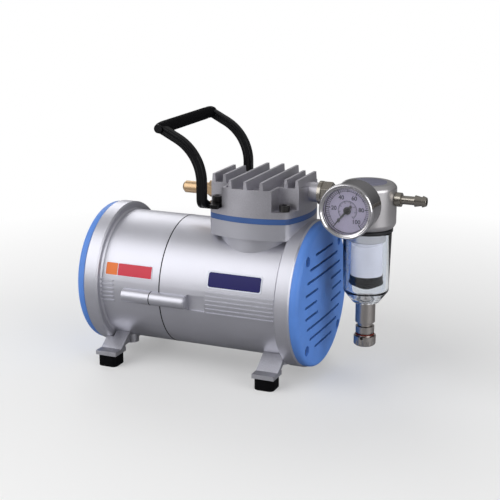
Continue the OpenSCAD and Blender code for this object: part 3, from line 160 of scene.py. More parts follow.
# %% A finish on the Principled shader
class Finish:
    """A material on the Principled shader, and the nodes that vary it."""

    def __init__(self, name, color, **fixed):
        self.material = bpy.data.materials.new(name)
        self.material.use_nodes = True
        self.tree = self.material.node_tree
        self.shader = self.tree.nodes["Principled BSDF"]
        self.color = (*color, 1.0)
        self.material.diffuse_color = self.color
        self.shader.inputs["Base Color"].default_value = self.color
        for name_of_socket, value in fixed.items():
            self.shader.inputs[name_of_socket.replace("_", " ")].default_value = value
        self.spots = self.node("ShaderNodeTexCoord", {}, {}, "Object")

    def node(self, kind, settings, sockets, output=0):
        """Adds a node: its settings first, then the values or links of its sockets."""
        made = self.tree.nodes.new(kind)
        for key, value in settings.items():
            setattr(made, key, value)
        for key, value in sockets.items():
            if isinstance(value, Signal):
                self.tree.links.new(value.socket, made.inputs[key])
            else:
                made.inputs[key].default_value = value
        return Signal(self, made.outputs[output])

    def feed(self, socket, signal):
        self.tree.links.new(signal.socket, self.shader.inputs[socket])

    def noise(self, per_metre, detail=2.0, stretch=(1, 1, 1)):
        """Soft random grain, from 0 to 1, that many times a metre."""
        spots = self.node("ShaderNodeMapping", {}, {"Vector": self.spots, "Scale": stretch})
        return self.node("ShaderNodeTexNoise", {}, {"Vector": spots, "Scale": per_metre, "Detail": detail})

    def blend(self, amount, first, second):
        """A colour between two colours."""
        sockets = {"Factor": amount, 6: first, 7: second}
        return self.node("ShaderNodeMix", {"data_type": "RGBA"}, sockets, 2)

    def bump(self, height, strength, depth_mm):
        """Feeds the surface's fine relief."""
        sockets = {"Height": height, "Strength": strength, "Distance": depth_mm * MM}
        self.feed("Normal", self.node("ShaderNodeBump", {}, sockets))


def shade(color, share, lift=0.0):
    """The colour made lighter or darker, with an alpha of 1."""
    return [min(1.0, channel * share + lift) for channel in color] + [1.0]


print("a grey made darker:", shade((0.5, 0.5, 0.5), 0.8))

# %% [markdown]
# ## Silver lacquer
#
# The shells are sprayed with a silver lacquer: tiny metal flakes under a smooth
# skin that is not quite flat. An image of flakes would show its edge, so the
# flakes are a very fine noise in colour and roughness, a wide noise clouds them,
# and the skin's slight waviness is a bump on a middling one.

# %% Silver lacquer of the shells
FLAKES_PER_METRE = 5200
WAVES_PER_METRE = 900
CLOUDS_PER_METRE = 38


def lacquer(name, color, metallic, roughness):
    """Sprayed metal flakes under a thin clear coat."""
    coat = Finish(name, color, Metallic=metallic, Roughness=roughness, Coat_Weight=0.18, Coat_Roughness=0.30)
    flakes = coat.noise(FLAKES_PER_METRE, 1.0)
    cloud = coat.noise(CLOUDS_PER_METRE, 3.0)
    spread = (flakes * 0.55 + cloud * 0.45).over(0.25, 0.75)
    coat.feed("Base Color", coat.blend(spread, shade(color, 0.92), shade(color, 1.07)))
    coat.feed("Roughness", flakes * 0.14 + cloud * 0.08 + (roughness - 0.11))
    coat.bump(coat.noise(WAVES_PER_METRE, 2.0) * 0.7 + flakes * 0.3, 0.35, 0.06)
    return coat.material


silver_paint = lacquer("silver_lacquer", (0.55, 0.55, 0.605), 0.80, 0.43)
print("made", silver_paint.name)

# %% [markdown]
# ## Bare castings
#
# The cylinder head, the legs and the trap's head are bare castings. Blasting
# leaves a grain at two sizes, coarse on the first two and almost none on the
# satin trap. Cast metal stains unevenly, so a third, wide noise shades the
# colour and the roughness.

# %% Cast metal
GRAIN_FINER = 4.0
STAINS_PER_METRE = 30


def casting(name, color, grain_mm, depth, roughness):
    """Blasted cast metal, its grain and the depth of its relief given in mm."""
    metal = Finish(name, color, Metallic=0.85, Roughness=roughness)
    coarse = metal.noise(1.0 / (grain_mm * MM), 3.0)
    fine = metal.noise(GRAIN_FINER / (grain_mm * MM), 2.0)
    stain = metal.noise(STAINS_PER_METRE, 3.0)
    spread = (coarse * 0.5 + stain * 0.5).over(0.3, 0.7)
    metal.feed("Base Color", metal.blend(spread, shade(color, 0.80), shade(color, 1.10)))
    metal.feed("Roughness", stain * 0.14 + coarse * 0.10 + (roughness - 0.06))
    metal.bump(coarse * 0.6 + fine * 0.4, 0.5, depth)
    return metal.material


cast_aluminium = casting("blasted_casting", (0.54, 0.53, 0.575), 0.7, 0.05, 0.36)
leg_metal = casting("leg_casting", (0.59, 0.59, 0.635), 0.9, 0.10, 0.33)
trap_metal = casting("satin_casting", (0.60, 0.585, 0.60), 0.35, 0.008, 0.27)
print("made", cast_aluminium.name, leg_metal.name, trap_metal.name)

# %% [markdown]
# ## Turned metal
#
# Screws, fittings, the drain and the gauge's case are turned on a lathe, and the
# tool leaves fine rings square to the axis. A noise that is squeezed along that
# axis and long across it gives such rings, and a wide noise smears them as
# fingers do.

# %% Turned and plated metal
RINGS_PER_METRE = 2600.0
RING_SIDE_PER_METRE = 60.0
SMEARS_PER_METRE = 90


def turned(name, color, roughness, axis):
    """Bright turned metal: fine rings square to the axis it was turned on."""
    metal = Finish(name, color, Metallic=1.0, Roughness=roughness)
    stretch = [RING_SIDE_PER_METRE] * 3
    stretch["XYZ".index(axis)] = RINGS_PER_METRE
    rings = metal.noise(1.0, 2.0, stretch)
    smear = metal.noise(SMEARS_PER_METRE, 3.0)
    metal.feed("Roughness", rings * 0.14 + smear * 0.12 + (roughness - 0.10))
    metal.bump(rings, 0.25, 0.03)
    return metal.material


machined_aluminium = turned("turned_aluminium", (0.60, 0.60, 0.62), 0.28, "Z")
steel = turned("zinc_steel", (0.36, 0.34, 0.31), 0.24, "Z")
chrome = turned("polished_chrome", (0.62, 0.61, 0.63), 0.13, "Y")
drain_metal = turned("satin_nickel", (0.50, 0.47, 0.45), 0.29, "Z")
fitting_metal = turned("zinc_fittings", (0.37, 0.345, 0.305), 0.20, "X")
# The gauge's case is the same chrome with a darker colour: a painted dark reflection on its side.
case_chrome_painted_dark = turned("chrome_painted_dark_for_case", (0.44, 0.43, 0.45), 0.14, "Y")
bolt_metal = turned("blackened_bolts", (0.075, 0.073, 0.073), 0.36, "Z")
print("made", machined_aluminium.name, steel.name, chrome.name)

# %% [markdown]
# ## Mouldings, rubber and paint
#
# Moulded plastic is smooth with a faint orange-peel. Rubber is darker and duller,
# with a coarser skin. Powder coat has a fine pebble, and print and foil are
# nearly flat. All are one recipe: a small noise for the skin and a wide one for
# the dust that lies on it.

# %% Plastic, rubber and powder coat
DUST_PER_METRE = 45


def moulded(name, color, roughness, peel_mm, depth, coat=0.0, shine=0.5):
    """Plastic, rubber or paint, the size of its skin and its relief given in mm."""
    skin = {"Coat_Weight": coat, "Coat_Roughness": 0.15, "Specular_IOR_Level": shine}
    plastic = Finish(name, color, Roughness=roughness, **skin)
    peel = plastic.noise(1.0 / (peel_mm * MM), 2.0)
    dust = plastic.noise(DUST_PER_METRE, 4.0)
    dusty = shade(color, 1.12, 0.001)
    plastic.feed("Base Color", plastic.blend(dust.over(0.35, 0.75), plastic.color, dusty))
    plastic.feed("Roughness", dust * 0.18 + peel * 0.06 + (roughness - 0.10))
    plastic.bump(peel, 0.4, depth)
    return plastic.material


blue_plastic = moulded("blue_moulding", (0.112, 0.275, 0.75), 0.48, 0.6, 0.03, shine=0.35)
blue_paint = moulded("blue_plate_paint", (0.045, 0.115, 0.33), 0.38, 0.4, 0.02, coat=0.1)
black_plastic = moulded("black_moulding", (0.016, 0.016, 0.019), 0.42, 0.35, 0.03, shine=0.4)
black_steel = moulded("black_powder_coat", (0.002, 0.002, 0.003), 0.28, 0.28, 0.03, shine=0.22)
black_rubber = moulded("black_rubber", (0.0022, 0.0022, 0.003), 0.58, 0.5, 0.06, shine=0.07)
grey_plastic = moulded("grey_can", (0.55, 0.56, 0.57), 0.42, 0.5, 0.02)
white_plastic = moulded("sintered_filter", (0.79, 0.78, 0.85), 0.70, 0.25, 0.08)
dial_card = moulded("dial_card", (0.39, 0.355, 0.495), 0.55, 0.3, 0.01)
top_disc_paint = moulded("disc_paint", (0.17, 0.17, 0.24), 0.40, 0.4, 0.02)
pointer_paint = moulded("pointer_paint", (0.02, 0.02, 0.025), 0.40, 0.3, 0.01)
print("made", blue_plastic.name, black_rubber.name)

# %% [markdown]
# ## Brass, copper and sheet
#
# The silencer is sintered brass, grainy like a casting. The motor inside has
# copper windings and a stack of thin steel sheets. Both are streaked along one
# axis, so the rings of turned metal stand for wires and for sheet edges.

# %% Brass, copper and laminations
brass = casting("brass", (0.60, 0.42, 0.25), 0.35, 0.03, 0.34)
copper = turned("copper_wire", (0.62, 0.26, 0.12), 0.34, "X")
lamination = turned("stacked_sheet", (0.16, 0.16, 0.17), 0.42, "X")
print("made", brass.name, copper.name, lamination.name)

# %% [markdown]
# ## Clear plastic
#
# The bowl is clear plastic with a hint of blue, thick enough to darken towards
# its outline. Transmission with a real index of refraction does that by itself,
# so no painted rim is needed.

# %% Bowl and lens plastic
PLASTIC_IOR = 1.46
SMUDGES_PER_METRE = 60


def clear(name, color, roughness):
    """See-through plastic with faint smudges."""
    glass = Finish(name, color, Roughness=roughness, Transmission_Weight=1.0, IOR=PLASTIC_IOR)
    smear = glass.noise(SMUDGES_PER_METRE, 3.0)
    glass.feed("Roughness", smear.over(0.4, 0.8) * 0.05 + roughness)
    return glass.material


clear_plastic = clear("clear_bowl", (0.885, 0.915, 0.955), 0.02)
lens_plastic = clear("clear_lens", (0.985, 0.99, 1.0), 0.01)
print("made", clear_plastic.name, lens_plastic.name)

# %% [markdown]
# ## Dressing the CAD nodes
#
# The record gives each node a slot, a plain word for what it is made of. One
# table turns slots into finishes, and a second one names the nodes that look
# different from their slot: legs left bare, bolts blackened, and the gauge's
# case, whose chrome is painted darker as a painted dark reflection on its side.

# %% Which finish goes on which node
FINISH_OF_SLOT = {
    "silver_paint": silver_paint, "blue_plastic": blue_plastic, "blue_paint": blue_paint,
    "cast_aluminium": cast_aluminium, "machined_aluminium": machined_aluminium,
    "black_steel": black_steel, "black_rubber": black_rubber, "black_plastic": black_plastic,
    "steel": steel, "chrome": chrome, "lamination": lamination, "copper": copper, "brass": brass,
    "clear_plastic": clear_plastic, "white_dial": white_plastic, "ivory_ptfe": white_plastic,
    "pointer": pointer_paint, "grey_plastic": grey_plastic,
}
FINISH_OF_NODE = {
    "trap_head": trap_metal, "gauge_lens": lens_plastic, "cover_screws": blue_paint,
    "gauge_dial": dial_card, "left_leg": leg_metal, "right_leg": leg_metal,
    "drain_body": drain_metal, "drain_knob": drain_metal, "head_bolts": bolt_metal,
    "gauge_case": case_chrome_painted_dark, "hose_barb": fitting_metal, "intake_nipple": fitting_metal,
}
slot_of_node = {entry["node"]: entry["material_slot"] for entry in frame["record"]["subparts"]}


def finish_of(node):
    """The finish a node's visible metal, plastic or rubber has."""
    return FINISH_OF_NODE.get(node, FINISH_OF_SLOT[slot_of_node[node]])


for node, thing in frame["nodes"].items():
    for spot in thing.material_slots:
        spot.material = finish_of(node)
print("dressed", len(frame["nodes"]), "nodes")

# %% [markdown]
# ## Adding a piece
#
# Each new piece is a mesh with one finish that rides on one of the pump's
# bodies, so that it moves with the joint. Curved faces are shaded smooth, while
# real edges stay crisp.

# %% Pieces that ride on a body
nodes_of_body = frame["record"]["behaviour"]["bodies"]
body_of_node = {node: body for body, nodes in nodes_of_body.items() for node in nodes}


def add_piece(name, mesh_from, finish, body):
    """Turns a bmesh into an object that rides on a body."""
    mesh = bpy.data.meshes.new(name)
    mesh_from.to_mesh(mesh)
    mesh_from.free()
    mesh.materials.append(finish)
    piece = bpy.data.objects.new(name, mesh)
    bpy.context.scene.collection.objects.link(piece)
    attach(piece, body)
    return piece


def smooth_between(piece, degrees, weighted=False):
    """Smooth shading, with edges sharper than that many degrees kept crisp."""
    piece.data.shade_smooth()
    piece.data.set_sharp_from_angle(angle=math.radians(degrees))
    if weighted:
        normals = piece.modifiers.new("large_faces_rule", "WEIGHTED_NORMAL")
        normals.keep_sharp = True


print("bodies that carry nodes:", len(set(body_of_node.values())))

# %% [markdown]
# ## Rounded edges
#
# No real edge is sharp: cast, bent and moulded edges all catch a thin line of
# light. Each visible node is copied, its loose triangles are joined, its flat
# faces are merged, and its sharp edges get a small bevel of the size that the
# way of making leaves. A Bevel modifier on the loose triangles would find no
# edge to round.

# %% A node's copy with softened edges
LOOSE_GAP = 0.004
FLAT_DEGREES = 0.6
SHARP_DEGREES = 32
BEVEL_SEGMENTS = 2
CRISP_DEGREES = 30
SOFT_EDGES = {
    "crankcase": 0.45, "motor_housing": 0.45, "cylinder_head": 0.6, "valve_plate": 0.4,
    "left_leg": 1.1, "right_leg": 1.1,
    "bowl_collar": 0.3, "gauge_case": 0.4, "switch_box": 0.8,
    "head_bolts": 0.35, "drain_body": 0.4, "drain_knob": 0.4, "hose_barb": 0.25, "intake_nipple": 0.4,
    "exhaust_muffler": 0.35, "front_left_foot": 1.6, "front_right_foot": 1.6,
    "rear_left_foot": 1.6, "rear_right_foot": 1.6, "cord_gland": 0.5, "power_switch": 0.4,
    "handle_screws": 0.3, "housing_screws": 0.25,
}


def sharp_edges(work):
    """The edges between two faces that meet at more than a slight angle."""
    limit = math.radians(SHARP_DEGREES)
    return [edge for edge in work.edges if len(edge.link_faces) == 2 and edge.calc_face_angle(0) > limit]


def soften(node, width_mm):
    """Replaces a node by a copy whose sharp edges are rounded."""
    work = bmesh.new()
    work.from_mesh(frame["nodes"][node].data)
    bmesh.ops.remove_doubles(work, verts=work.verts, dist=LOOSE_GAP * MM)
    flat = math.radians(FLAT_DEGREES)
    bmesh.ops.dissolve_limit(work, angle_limit=flat, verts=work.verts, edges=work.edges)
    bmesh.ops.bevel(
        work, geom=sharp_edges(work), offset=width_mm * MM, offset_type="OFFSET", segments=BEVEL_SEGMENTS,
        profile=0.5, affect="EDGES", clamp_overlap=True, material=-1, loop_slide=True,
    )
    piece = add_piece(node + "_soft", work, finish_of(node), body_of_node[node])
    smooth_between(piece, CRISP_DEGREES, weighted=True)
    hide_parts(node)
    return piece


for node, width in SOFT_EDGES.items():
    piece = soften(node, width)
    print(node, "rounded:", len(piece.data.polygons), "faces")

# %% [markdown]
# ## Plates on the shells
#
# Two thin foil plates are glued to the front of the shells and follow their
# curve. Each starts as one line along the shaft, is spun about the shaft by the
# plate's angle, has its corners planed round by short cuts, and gets a wall. A
# flat plate bent by a modifier would need its curve set by eye.

# %% Curved plates
SHELL_R = 54.5
PLATE_STEPS = 14
CORNER_CUTS = 6


def round_corner(work, middle, side, way, turn, corner):
    """Planes one corner of a plate to a quarter circle about its middle."""
    for step in range(1, CORNER_CUTS):
        share = math.pi / 2 * step / CORNER_CUTS
        rise = math.sin(share) * way
        outward = Vector((math.cos(share) * side, rise * math.sin(turn), rise * math.cos(turn)))
        everything = list(work.verts) + list(work.edges) + list(work.faces)
        edge_at = middle + outward * corner * MM
        bmesh.ops.bisect_plane(work, geom=everything, plane_co=edge_at, plane_no=outward, clear_outer=True)


def curved_plate(name, span, radius, thick, finish, corner):
    """A plate on the shells: its ends along the shaft in mm, its edges in degrees over the shaft."""
    x_from, x_to, low, high = span
    work = bmesh.new()
    start = math.radians(180 - low)
    across = [place(x, radius * math.cos(start), radius * math.sin(start)) for x in (x_from, x_to)]
    line = work.edges.new([work.verts.new(spot) for spot in across])
    bmesh.ops.spin(
        work, geom=[line] + list(line.verts), cent=place(0, 0, 0), axis=(1, 0, 0),
        angle=-math.radians(high - low), steps=PLATE_STEPS, use_merge=False,
    )
    corners = ((x_from, -1, low, -1), (x_from, -1, high, 1), (x_to, 1, low, -1), (x_to, 1, high, 1))
    for x, side, angle, way in corners:
        turn = math.radians(angle) - way * corner / radius
        middle = place(x - side * corner, -radius * math.cos(turn), radius * math.sin(turn))
        round_corner(work, middle, side, way, turn, corner)
    bmesh.ops.recalc_face_normals(work, faces=work.faces)
    bmesh.ops.solidify(work, geom=work.faces, thickness=-thick * MM)
    bmesh.ops.recalc_face_normals(work, faces=work.faces)
    piece = add_piece(name, work, finish, "pump")
    smooth_between(piece, CRISP_DEGREES)
    return piece


print("plates lie on a radius of", SHELL_R, "mm")

# %% [markdown]
# ## Foil on the plates
#
# A pale foil lies under a coloured one that is a little smaller, so that a pale
# line is left round the colour. That is how such plates are printed, and two
# thin sheets show it with a real edge.

# %% Two foil plates
FRONT_BASE, FRONT_FIELD = (-28.2, 19.2, 11.6, 26.4), (-27.2, 18.2, 12.7, 25.3)
SIDE_BASE = (-121.0, -78.0, 12.4, 23.8)
SIDE_ORANGE, SIDE_RED = (-120.5, -110.0, 12.9, 23.3), (-109.4, -78.5, 12.9, 23.3)
BASE_R, FIELD_R = SHELL_R + 0.05, SHELL_R + 0.30
BASE_T, FRONT_T, SIDE_T = 0.25, 0.12, 0.10
FRONT_CORNER, FIELD_CORNER, SIDE_CORNER, COLOUR_CORNER = 2.2, 1.9, 0.8, 0.5
foil_pale = moulded("pale_foil", (0.68, 0.71, 0.80), 0.30, 0.5, 0.015, coat=0.3)
foil_navy = moulded("navy_foil", (0.010, 0.008, 0.105), 0.42, 0.5, 0.015, shine=0.25)
foil_orange = moulded("orange_foil", (0.84, 0.20, 0.045), 0.42, 0.5, 0.015, shine=0.3)
foil_red = moulded("red_foil", (0.66, 0.045, 0.075), 0.42, 0.5, 0.015, shine=0.3)
curved_plate("front_plate_border", FRONT_BASE, BASE_R, BASE_T, foil_pale, FRONT_CORNER)
curved_plate("front_plate_field", FRONT_FIELD, FIELD_R, FRONT_T, foil_navy, FIELD_CORNER)
curved_plate("side_plate_base", SIDE_BASE, BASE_R, BASE_T, foil_pale, SIDE_CORNER)
curved_plate("side_plate_orange", SIDE_ORANGE, FIELD_R, SIDE_T, foil_orange, COLOUR_CORNER)
curved_plate("side_plate_red", SIDE_RED, FIELD_R, SIDE_T, foil_red, COLOUR_CORNER)
print("plates: two, of five foils")

# %% [markdown]
# ## A lathe
#
# Most of what is left to make is round: gaskets, plugs, grip, bezel, bowl and
# filter. Each is an outline spun about its own axis, as a turner would think of
# it. Cylinders and booleans would give the same walls but no soft corners.

# %% The lathe
SPIN_STEPS, ROUND_STEPS, FINE_STEPS = 48, 64, 96
LATHE_GAP = 0.002
UPWARDS = (0, 0, 1)
ALONG_SHAFT = (1, 0, 0)
REARWARDS = (0, 1, 0)
SIDES = ((-1, "front"), (1, "rear"))


def lathe(name, outline, centre, axis, finish, body, steps=SPIN_STEPS, sharp=CRISP_DEGREES, weighted=False):
    """Spins an outline of (distance along the axis, radius) pairs, in mm, about a line."""
    along = Vector(axis)
    out = along.orthogonal().normalized()
    work = bmesh.new()
    spots = [work.verts.new(Vector(centre) + (along * a + out * r) * MM) for a, r in outline]
    edges = [work.edges.new(pair) for pair in zip(spots, spots[1:])]
    bmesh.ops.spin(
        work, geom=spots + edges, cent=centre, axis=along,
        angle=2 * math.pi, steps=steps, use_merge=True,
    )
    bmesh.ops.remove_doubles(work, verts=work.verts, dist=LATHE_GAP * MM)
    bmesh.ops.recalc_face_normals(work, faces=work.faces)
    piece = add_piece(name, work, finish, body)
    smooth_between(piece, sharp, weighted)
    return piece


print("lathe steps:", SPIN_STEPS, ROUND_STEPS, FINE_STEPS)

# %% [markdown]
# ## Outlines
#
# Real turned and moulded edges are a little round. An outline is drawn with
# plain corners, which are easy to read, and each corner is then swapped for a
# short curve, held back where its sides are short.

# %% Rounded and closed outlines
CORNER_REACH_SHARE = 0.45


def rounded(outline, radius, steps=4):
    """The outline with each inner corner replaced by a short arc, in mm."""
    smooth = [outline[0]]
    for before, corner, after in zip(outline, outline[1:], outline[2:]):
        corner_at = Vector(corner)
        towards = [Vector(end) - corner_at for end in (before, after)]
        reach = min([radius] + [way.length * CORNER_REACH_SHARE for way in towards])
        first, last = [corner_at + way.normalized() * reach for way in towards]
        for step in range(steps + 1):
            t = step / steps
            smooth.append(tuple((1 - t) ** 2 * first + 2 * t * (1 - t) * corner_at + t ** 2 * last))
    return smooth + [outline[-1]]


def closed(outline):
    """The outline with its first point again at its end."""
    return outline + outline[:1]


def ring_outline(half_width, inner, outer):
    """A closed four-sided section for a plain ring."""
    return closed([(-half_width, inner), (-half_width, outer), (half_width, outer), (half_width, inner)])


print("points of a rounded square:", len(rounded(ring_outline(1.0, 1.0, 3.0), 0.2)))

# %% [markdown]
# ## The dark joint between the shells
#
# Where the two shells meet, a thin black gasket is pinched and shows as a dark
# line round the body. The line is a short ring, about a tenth of a millimetre
# proud, because a painted line would not cast the small shadow that a seam has.

# %% Seam gasket
SEAM_X = -70.8
SEAM_STEPS = 128
GASKET_HALF, GASKET_SINK, GASKET_RISE = 0.35, 0.6, 0.12
seam_outline = ring_outline(GASKET_HALF, SHELL_R - GASKET_SINK, SHELL_R + GASKET_RISE)
lathe("seam_gasket", seam_outline, place(SEAM_X, 0, 0), ALONG_SHAFT, black_rubber, "pump", SEAM_STEPS)
print("seam gasket at x", SEAM_X, "mm")

# %% [markdown]
# ## The clamp bosses
#
# A long screw runs through the boss on each side and pulls the shells together.
# The gasket shows again where the boss is split. The screw's hole is closed by a
# lacquered plug with a low crown, so that the boss reads as one smooth bar.

# %% Gasket and plug of each clamp boss
BOSS_JOINT_X, BOSS_END_X, BOSS_OUT, BOSS_Z, BOSS_R = -77.5, -47.0, 55.4, -3.3, 5.6
BOSS_GASKET_SINK = 0.8
PLUG_SINK, PLUG_RIM, PLUG_SHOULDER, PLUG_CROWN = -0.05, 0.5, 1.3, 1.4
PLUG_R, PLUG_RIM_R, PLUG_SHOULDER_R = BOSS_R - 0.1, BOSS_R - 0.3, 3.4
PLUG_ROUNDING = 0.8
boss_outline = ring_outline(GASKET_HALF, BOSS_R - BOSS_GASKET_SINK, BOSS_R + GASKET_RISE)
plug = rounded([
    (PLUG_SINK, 0.0), (PLUG_SINK, PLUG_R), (PLUG_RIM, PLUG_RIM_R), (PLUG_SHOULDER, PLUG_SHOULDER_R),
    (PLUG_CROWN, 0.0),
], PLUG_ROUNDING)
for side, where in SIDES:
    joint_at = place(BOSS_JOINT_X, side * BOSS_OUT, BOSS_Z)
    end_at = place(BOSS_END_X, side * BOSS_OUT, BOSS_Z)
    lathe("boss_gasket_" + where, boss_outline, joint_at, ALONG_SHAFT, black_rubber, "pump")
    lathe("boss_plug_" + where, plug, end_at, ALONG_SHAFT, silver_paint, "pump")
print("boss joints at x", BOSS_JOINT_X, "mm, plugs at", BOSS_END_X, "mm")

# %% [markdown]
# ## The handle's arms
#
# Each arm is one bar with a groove pressed along both flats. It goes up from the
# head, bends back over the motor, and ends in a round eye at the grip. Its lower
# end is bent inward and hammered flat into a tab under a head bolt. A section
# swept by extrude and spin follows that way exactly, where a curve with a bevel
# profile would twist the groove.

# %% The bar's section
ARM_X, ARM_Y, ARM_HALF = -34.5, -47.0, 3.5
GROOVE_HALF, GROOVE_DEEP, GROOVE_SIDE = 0.8, 0.6, 0.35
ARM_ROUNDING = 1.5


def arm_section():
    """The bar's outline as (outward, across) pairs in mm, the outer half first."""
    flat = ARM_HALF - GROOVE_DEEP
    corner = GROOVE_HALF + GROOVE_SIDE
    half = [(0.0, -flat), (GROOVE_HALF, -flat), (corner, -ARM_HALF), (ARM_HALF, -ARM_HALF)]
    outer = rounded(half + [(u, -v) for u, v in reversed(half)], ARM_ROUNDING, steps=3)
    return outer, [(-u, v) for u, v in reversed(outer)][1:-1]


print("points round the bar:", sum(len(half) for half in arm_section()))

# %% [markdown]
# ## Sweeping the bar
#
# The section rises, turns about the bend, reaches the grip and closes in the
# eye. From the same first section, a second sweep turns inward at the foot and
# is pressed flat, to the thickness of the tab.

# %% Steps of the sweep
BEND_R, BEND_DEGREES, ARM_RISE, ARM_REACH = 38.0, 63.0, 21.3, 16.5
FOOT_BEND_R, FOOT_REACH, TAB_T, TAB_WIDEN_SHARE = 4.6, 5.0, 3.0, 1.15
BEND_STEPS, EYE_STEPS, FOOT_STEPS = 24, 16, 8
ARM_GAP = 0.01
EYE_SIDE = 0.001
TOWARDS_FRONT = (0, -1, 0)
arm_foot_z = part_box("handle_front_arm")[0][2] / MM - SHAFT_Z


def edges_in(parts):
    return [part for part in parts if isinstance(part, bmesh.types.BMEdge)]


def ends_of(edges):
    return list({v for edge in edges for v in edge.verts})


def pushed(work, edges, step):
    """Extrudes a loop by a step, and returns its far edges."""
    made = bmesh.ops.extrude_edge_only(work, edges=edges)
    fresh = [part for part in made["geom"] if isinstance(part, bmesh.types.BMVert)]
    bmesh.ops.translate(work, verts=fresh, vec=step)
    return edges_in(made["geom"])


def turned_about(work, edges, centre, axis, angle, steps):
    """Spins a loop about a line, and returns its far edges."""
    made = bmesh.ops.spin(
        work, geom=edges + ends_of(edges), cent=centre, axis=axis, angle=angle, steps=steps, use_merge=False,
    )
    return edges_in(made["geom_last"])


print("arms stand on the head at", round(arm_foot_z, 2), "mm over the shaft")

# %% [markdown]
# ## One arm, from foot to eye
#
# Only the outer half of the section is spun round the eye. Half a turn brings it
# to the inner half's open edge, which closes the eye. A whole ring would have to
# be cut and joined to the bar.

# %% The swept arm
def sweep_up(work, first, start_z):
    """The bar from its foot's bend to the round eye at the grip."""
    rise = Vector((0, 0, (ARM_RISE + arm_foot_z - start_z) * MM))
    edges = pushed(work, first, rise)
    bend_at = place(ARM_X - BEND_R, ARM_Y, arm_foot_z + ARM_RISE)
    turn = math.radians(BEND_DEGREES)
    edges = turned_about(work, edges, bend_at, TOWARDS_FRONT, turn, BEND_STEPS)
    outward = Vector((math.cos(turn), 0, math.sin(turn)))
    reach = Vector((-math.sin(turn), 0, math.cos(turn))) * ARM_REACH * MM
    edges = pushed(work, edges, reach)
    eye_at = bend_at + outward * BEND_R * MM + reach
    far = [e for e in edges if all((v.co - eye_at).dot(outward) > -EYE_SIDE * MM for v in e.verts)]
    turned_about(work, far, eye_at, TOWARDS_FRONT, math.pi, EYE_STEPS)


def sweep_foot(work, first, start_z):
    """The bend at the foot and its flattened end."""
    foot_at = place(ARM_X, ARM_Y + FOOT_BEND_R, start_z)
    edges = turned_about(work, first, foot_at, ALONG_SHAFT, math.pi / 2, FOOT_STEPS)
    fresh = pushed(work, edges, Vector((0, FOOT_REACH * MM, 0)))
    ground = Matrix.Translation(place(ARM_X, 0, arm_foot_z))
    pressed = Matrix.Diagonal((TAB_WIDEN_SHARE, 1.0, TAB_T / (2 * ARM_HALF), 1))
    bmesh.ops.transform(work, matrix=ground @ pressed @ ground.inverted(), verts=ends_of(fresh))
    bmesh.ops.holes_fill(work, edges=fresh)


def swept_arm():
    work = bmesh.new()
    outer, inner = arm_section()
    start_z = arm_foot_z + FOOT_BEND_R + ARM_HALF
    loop = [work.verts.new(place(ARM_X + u, ARM_Y + v, start_z)) for u, v in outer + inner]
    first = [work.edges.new(pair) for pair in zip(loop, loop[1:] + loop[:1])]
    sweep_up(work, first, start_z)
    sweep_foot(work, first, start_z)
    bmesh.ops.remove_doubles(work, verts=work.verts, dist=ARM_GAP * MM)
    bmesh.ops.recalc_face_normals(work, faces=work.faces)
    return work


print("bend:", BEND_R, "mm radius through", BEND_DEGREES, "degrees")

# %% [markdown]
# ## The tab and both arms
#
# The flat tab with its bolt hole fits the bolt already, so it is cut from the
# CAD node and joined to the swept bar. The rear arm is the front one mirrored,
# which turns its faces inside out, so they are turned back.

# %% Tabs, and two arms
TAB_CUT_Y = ARM_Y + 3.0
TAB_CUT_RISE = 0.02
ARM_CRISP_DEGREES = 35


def add_tab(work, node):
    """Joins the flat tab of the CAD node to the swept bar."""
    tab = bmesh.new()
    tab.from_mesh(frame["nodes"][node].data)
    bmesh.ops.remove_doubles(tab, verts=tab.verts, dist=LOOSE_GAP * MM)
    bar_side = (place(0, TAB_CUT_Y, 0), TOWARDS_FRONT)
    top_side = (place(0, 0, arm_foot_z + TAB_T + TAB_CUT_RISE), UPWARDS)
    for spot, way in (bar_side, top_side):
        everything = list(tab.verts) + list(tab.edges) + list(tab.faces)
        cut = bmesh.ops.bisect_plane(tab, geom=everything, plane_co=spot, plane_no=way, clear_outer=True)
        bmesh.ops.holes_fill(tab, edges=edges_in(cut["geom_cut"]))
    shape = bpy.data.meshes.new(node + "_tab")
    tab.to_mesh(shape)
    tab.free()
    work.from_mesh(shape)
    bpy.data.meshes.remove(shape)


front = swept_arm()
add_tab(front, "handle_front_arm")
rear = front.copy()
middle = Matrix.Translation(place(0, 0, 0))
mirrored = middle @ Matrix.Diagonal((1, -1, 1, 1)) @ middle.inverted()
bmesh.ops.transform(rear, matrix=mirrored, verts=rear.verts)
bmesh.ops.reverse_faces(rear, faces=rear.faces)
for node, work in (("handle_front_arm", front), ("handle_rear_arm", rear)):
    arm = add_piece(node + "_bar", work, black_steel, "pump")
    smooth_between(arm, ARM_CRISP_DEGREES)
    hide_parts(node)
    print(node, "faces:", len(arm.data.polygons))

# %% [markdown]
# ## The grip
#
# The grip is a rubber sleeve with fine rings for the fingers. One wave of its
# outline is repeated along the bar, and the outline is spun about the bar. A
# bump would give the look but not the ribbed silhouette.

# %% Ribbed grip
GRIP_PITCH, GRIP_DEEP, GRIP_PLAIN, GRIP_CHAMFER = 2.9, 0.7, 3, 0.6
WAVE_SHARES = ((0.0, 0.0), (0.45, 0.0), (0.58, 0.8), (0.72, 1.0), (0.86, 0.8))
grip_low, grip_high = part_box("handle_grip")
grip_middle = (Vector(grip_low) + Vector(grip_high)) / 2
grip_radius = (grip_high[2] - grip_low[2]) / 2 / MM
grip_half = (grip_high[1] - grip_low[1]) / 2 / MM
grip_rings = int(2 * (grip_half - GRIP_PLAIN) / GRIP_PITCH)
shoulder = grip_radius - GRIP_CHAMFER
wave = [(-grip_half, 0.0), (-grip_half, shoulder), (-grip_half + GRIP_CHAMFER, grip_radius)]
for step in range(grip_rings):
    start = -grip_half + GRIP_PLAIN + step * GRIP_PITCH
    for share, deep in WAVE_SHARES:
        wave.append((start + share * GRIP_PITCH, grip_radius - deep * GRIP_DEEP))
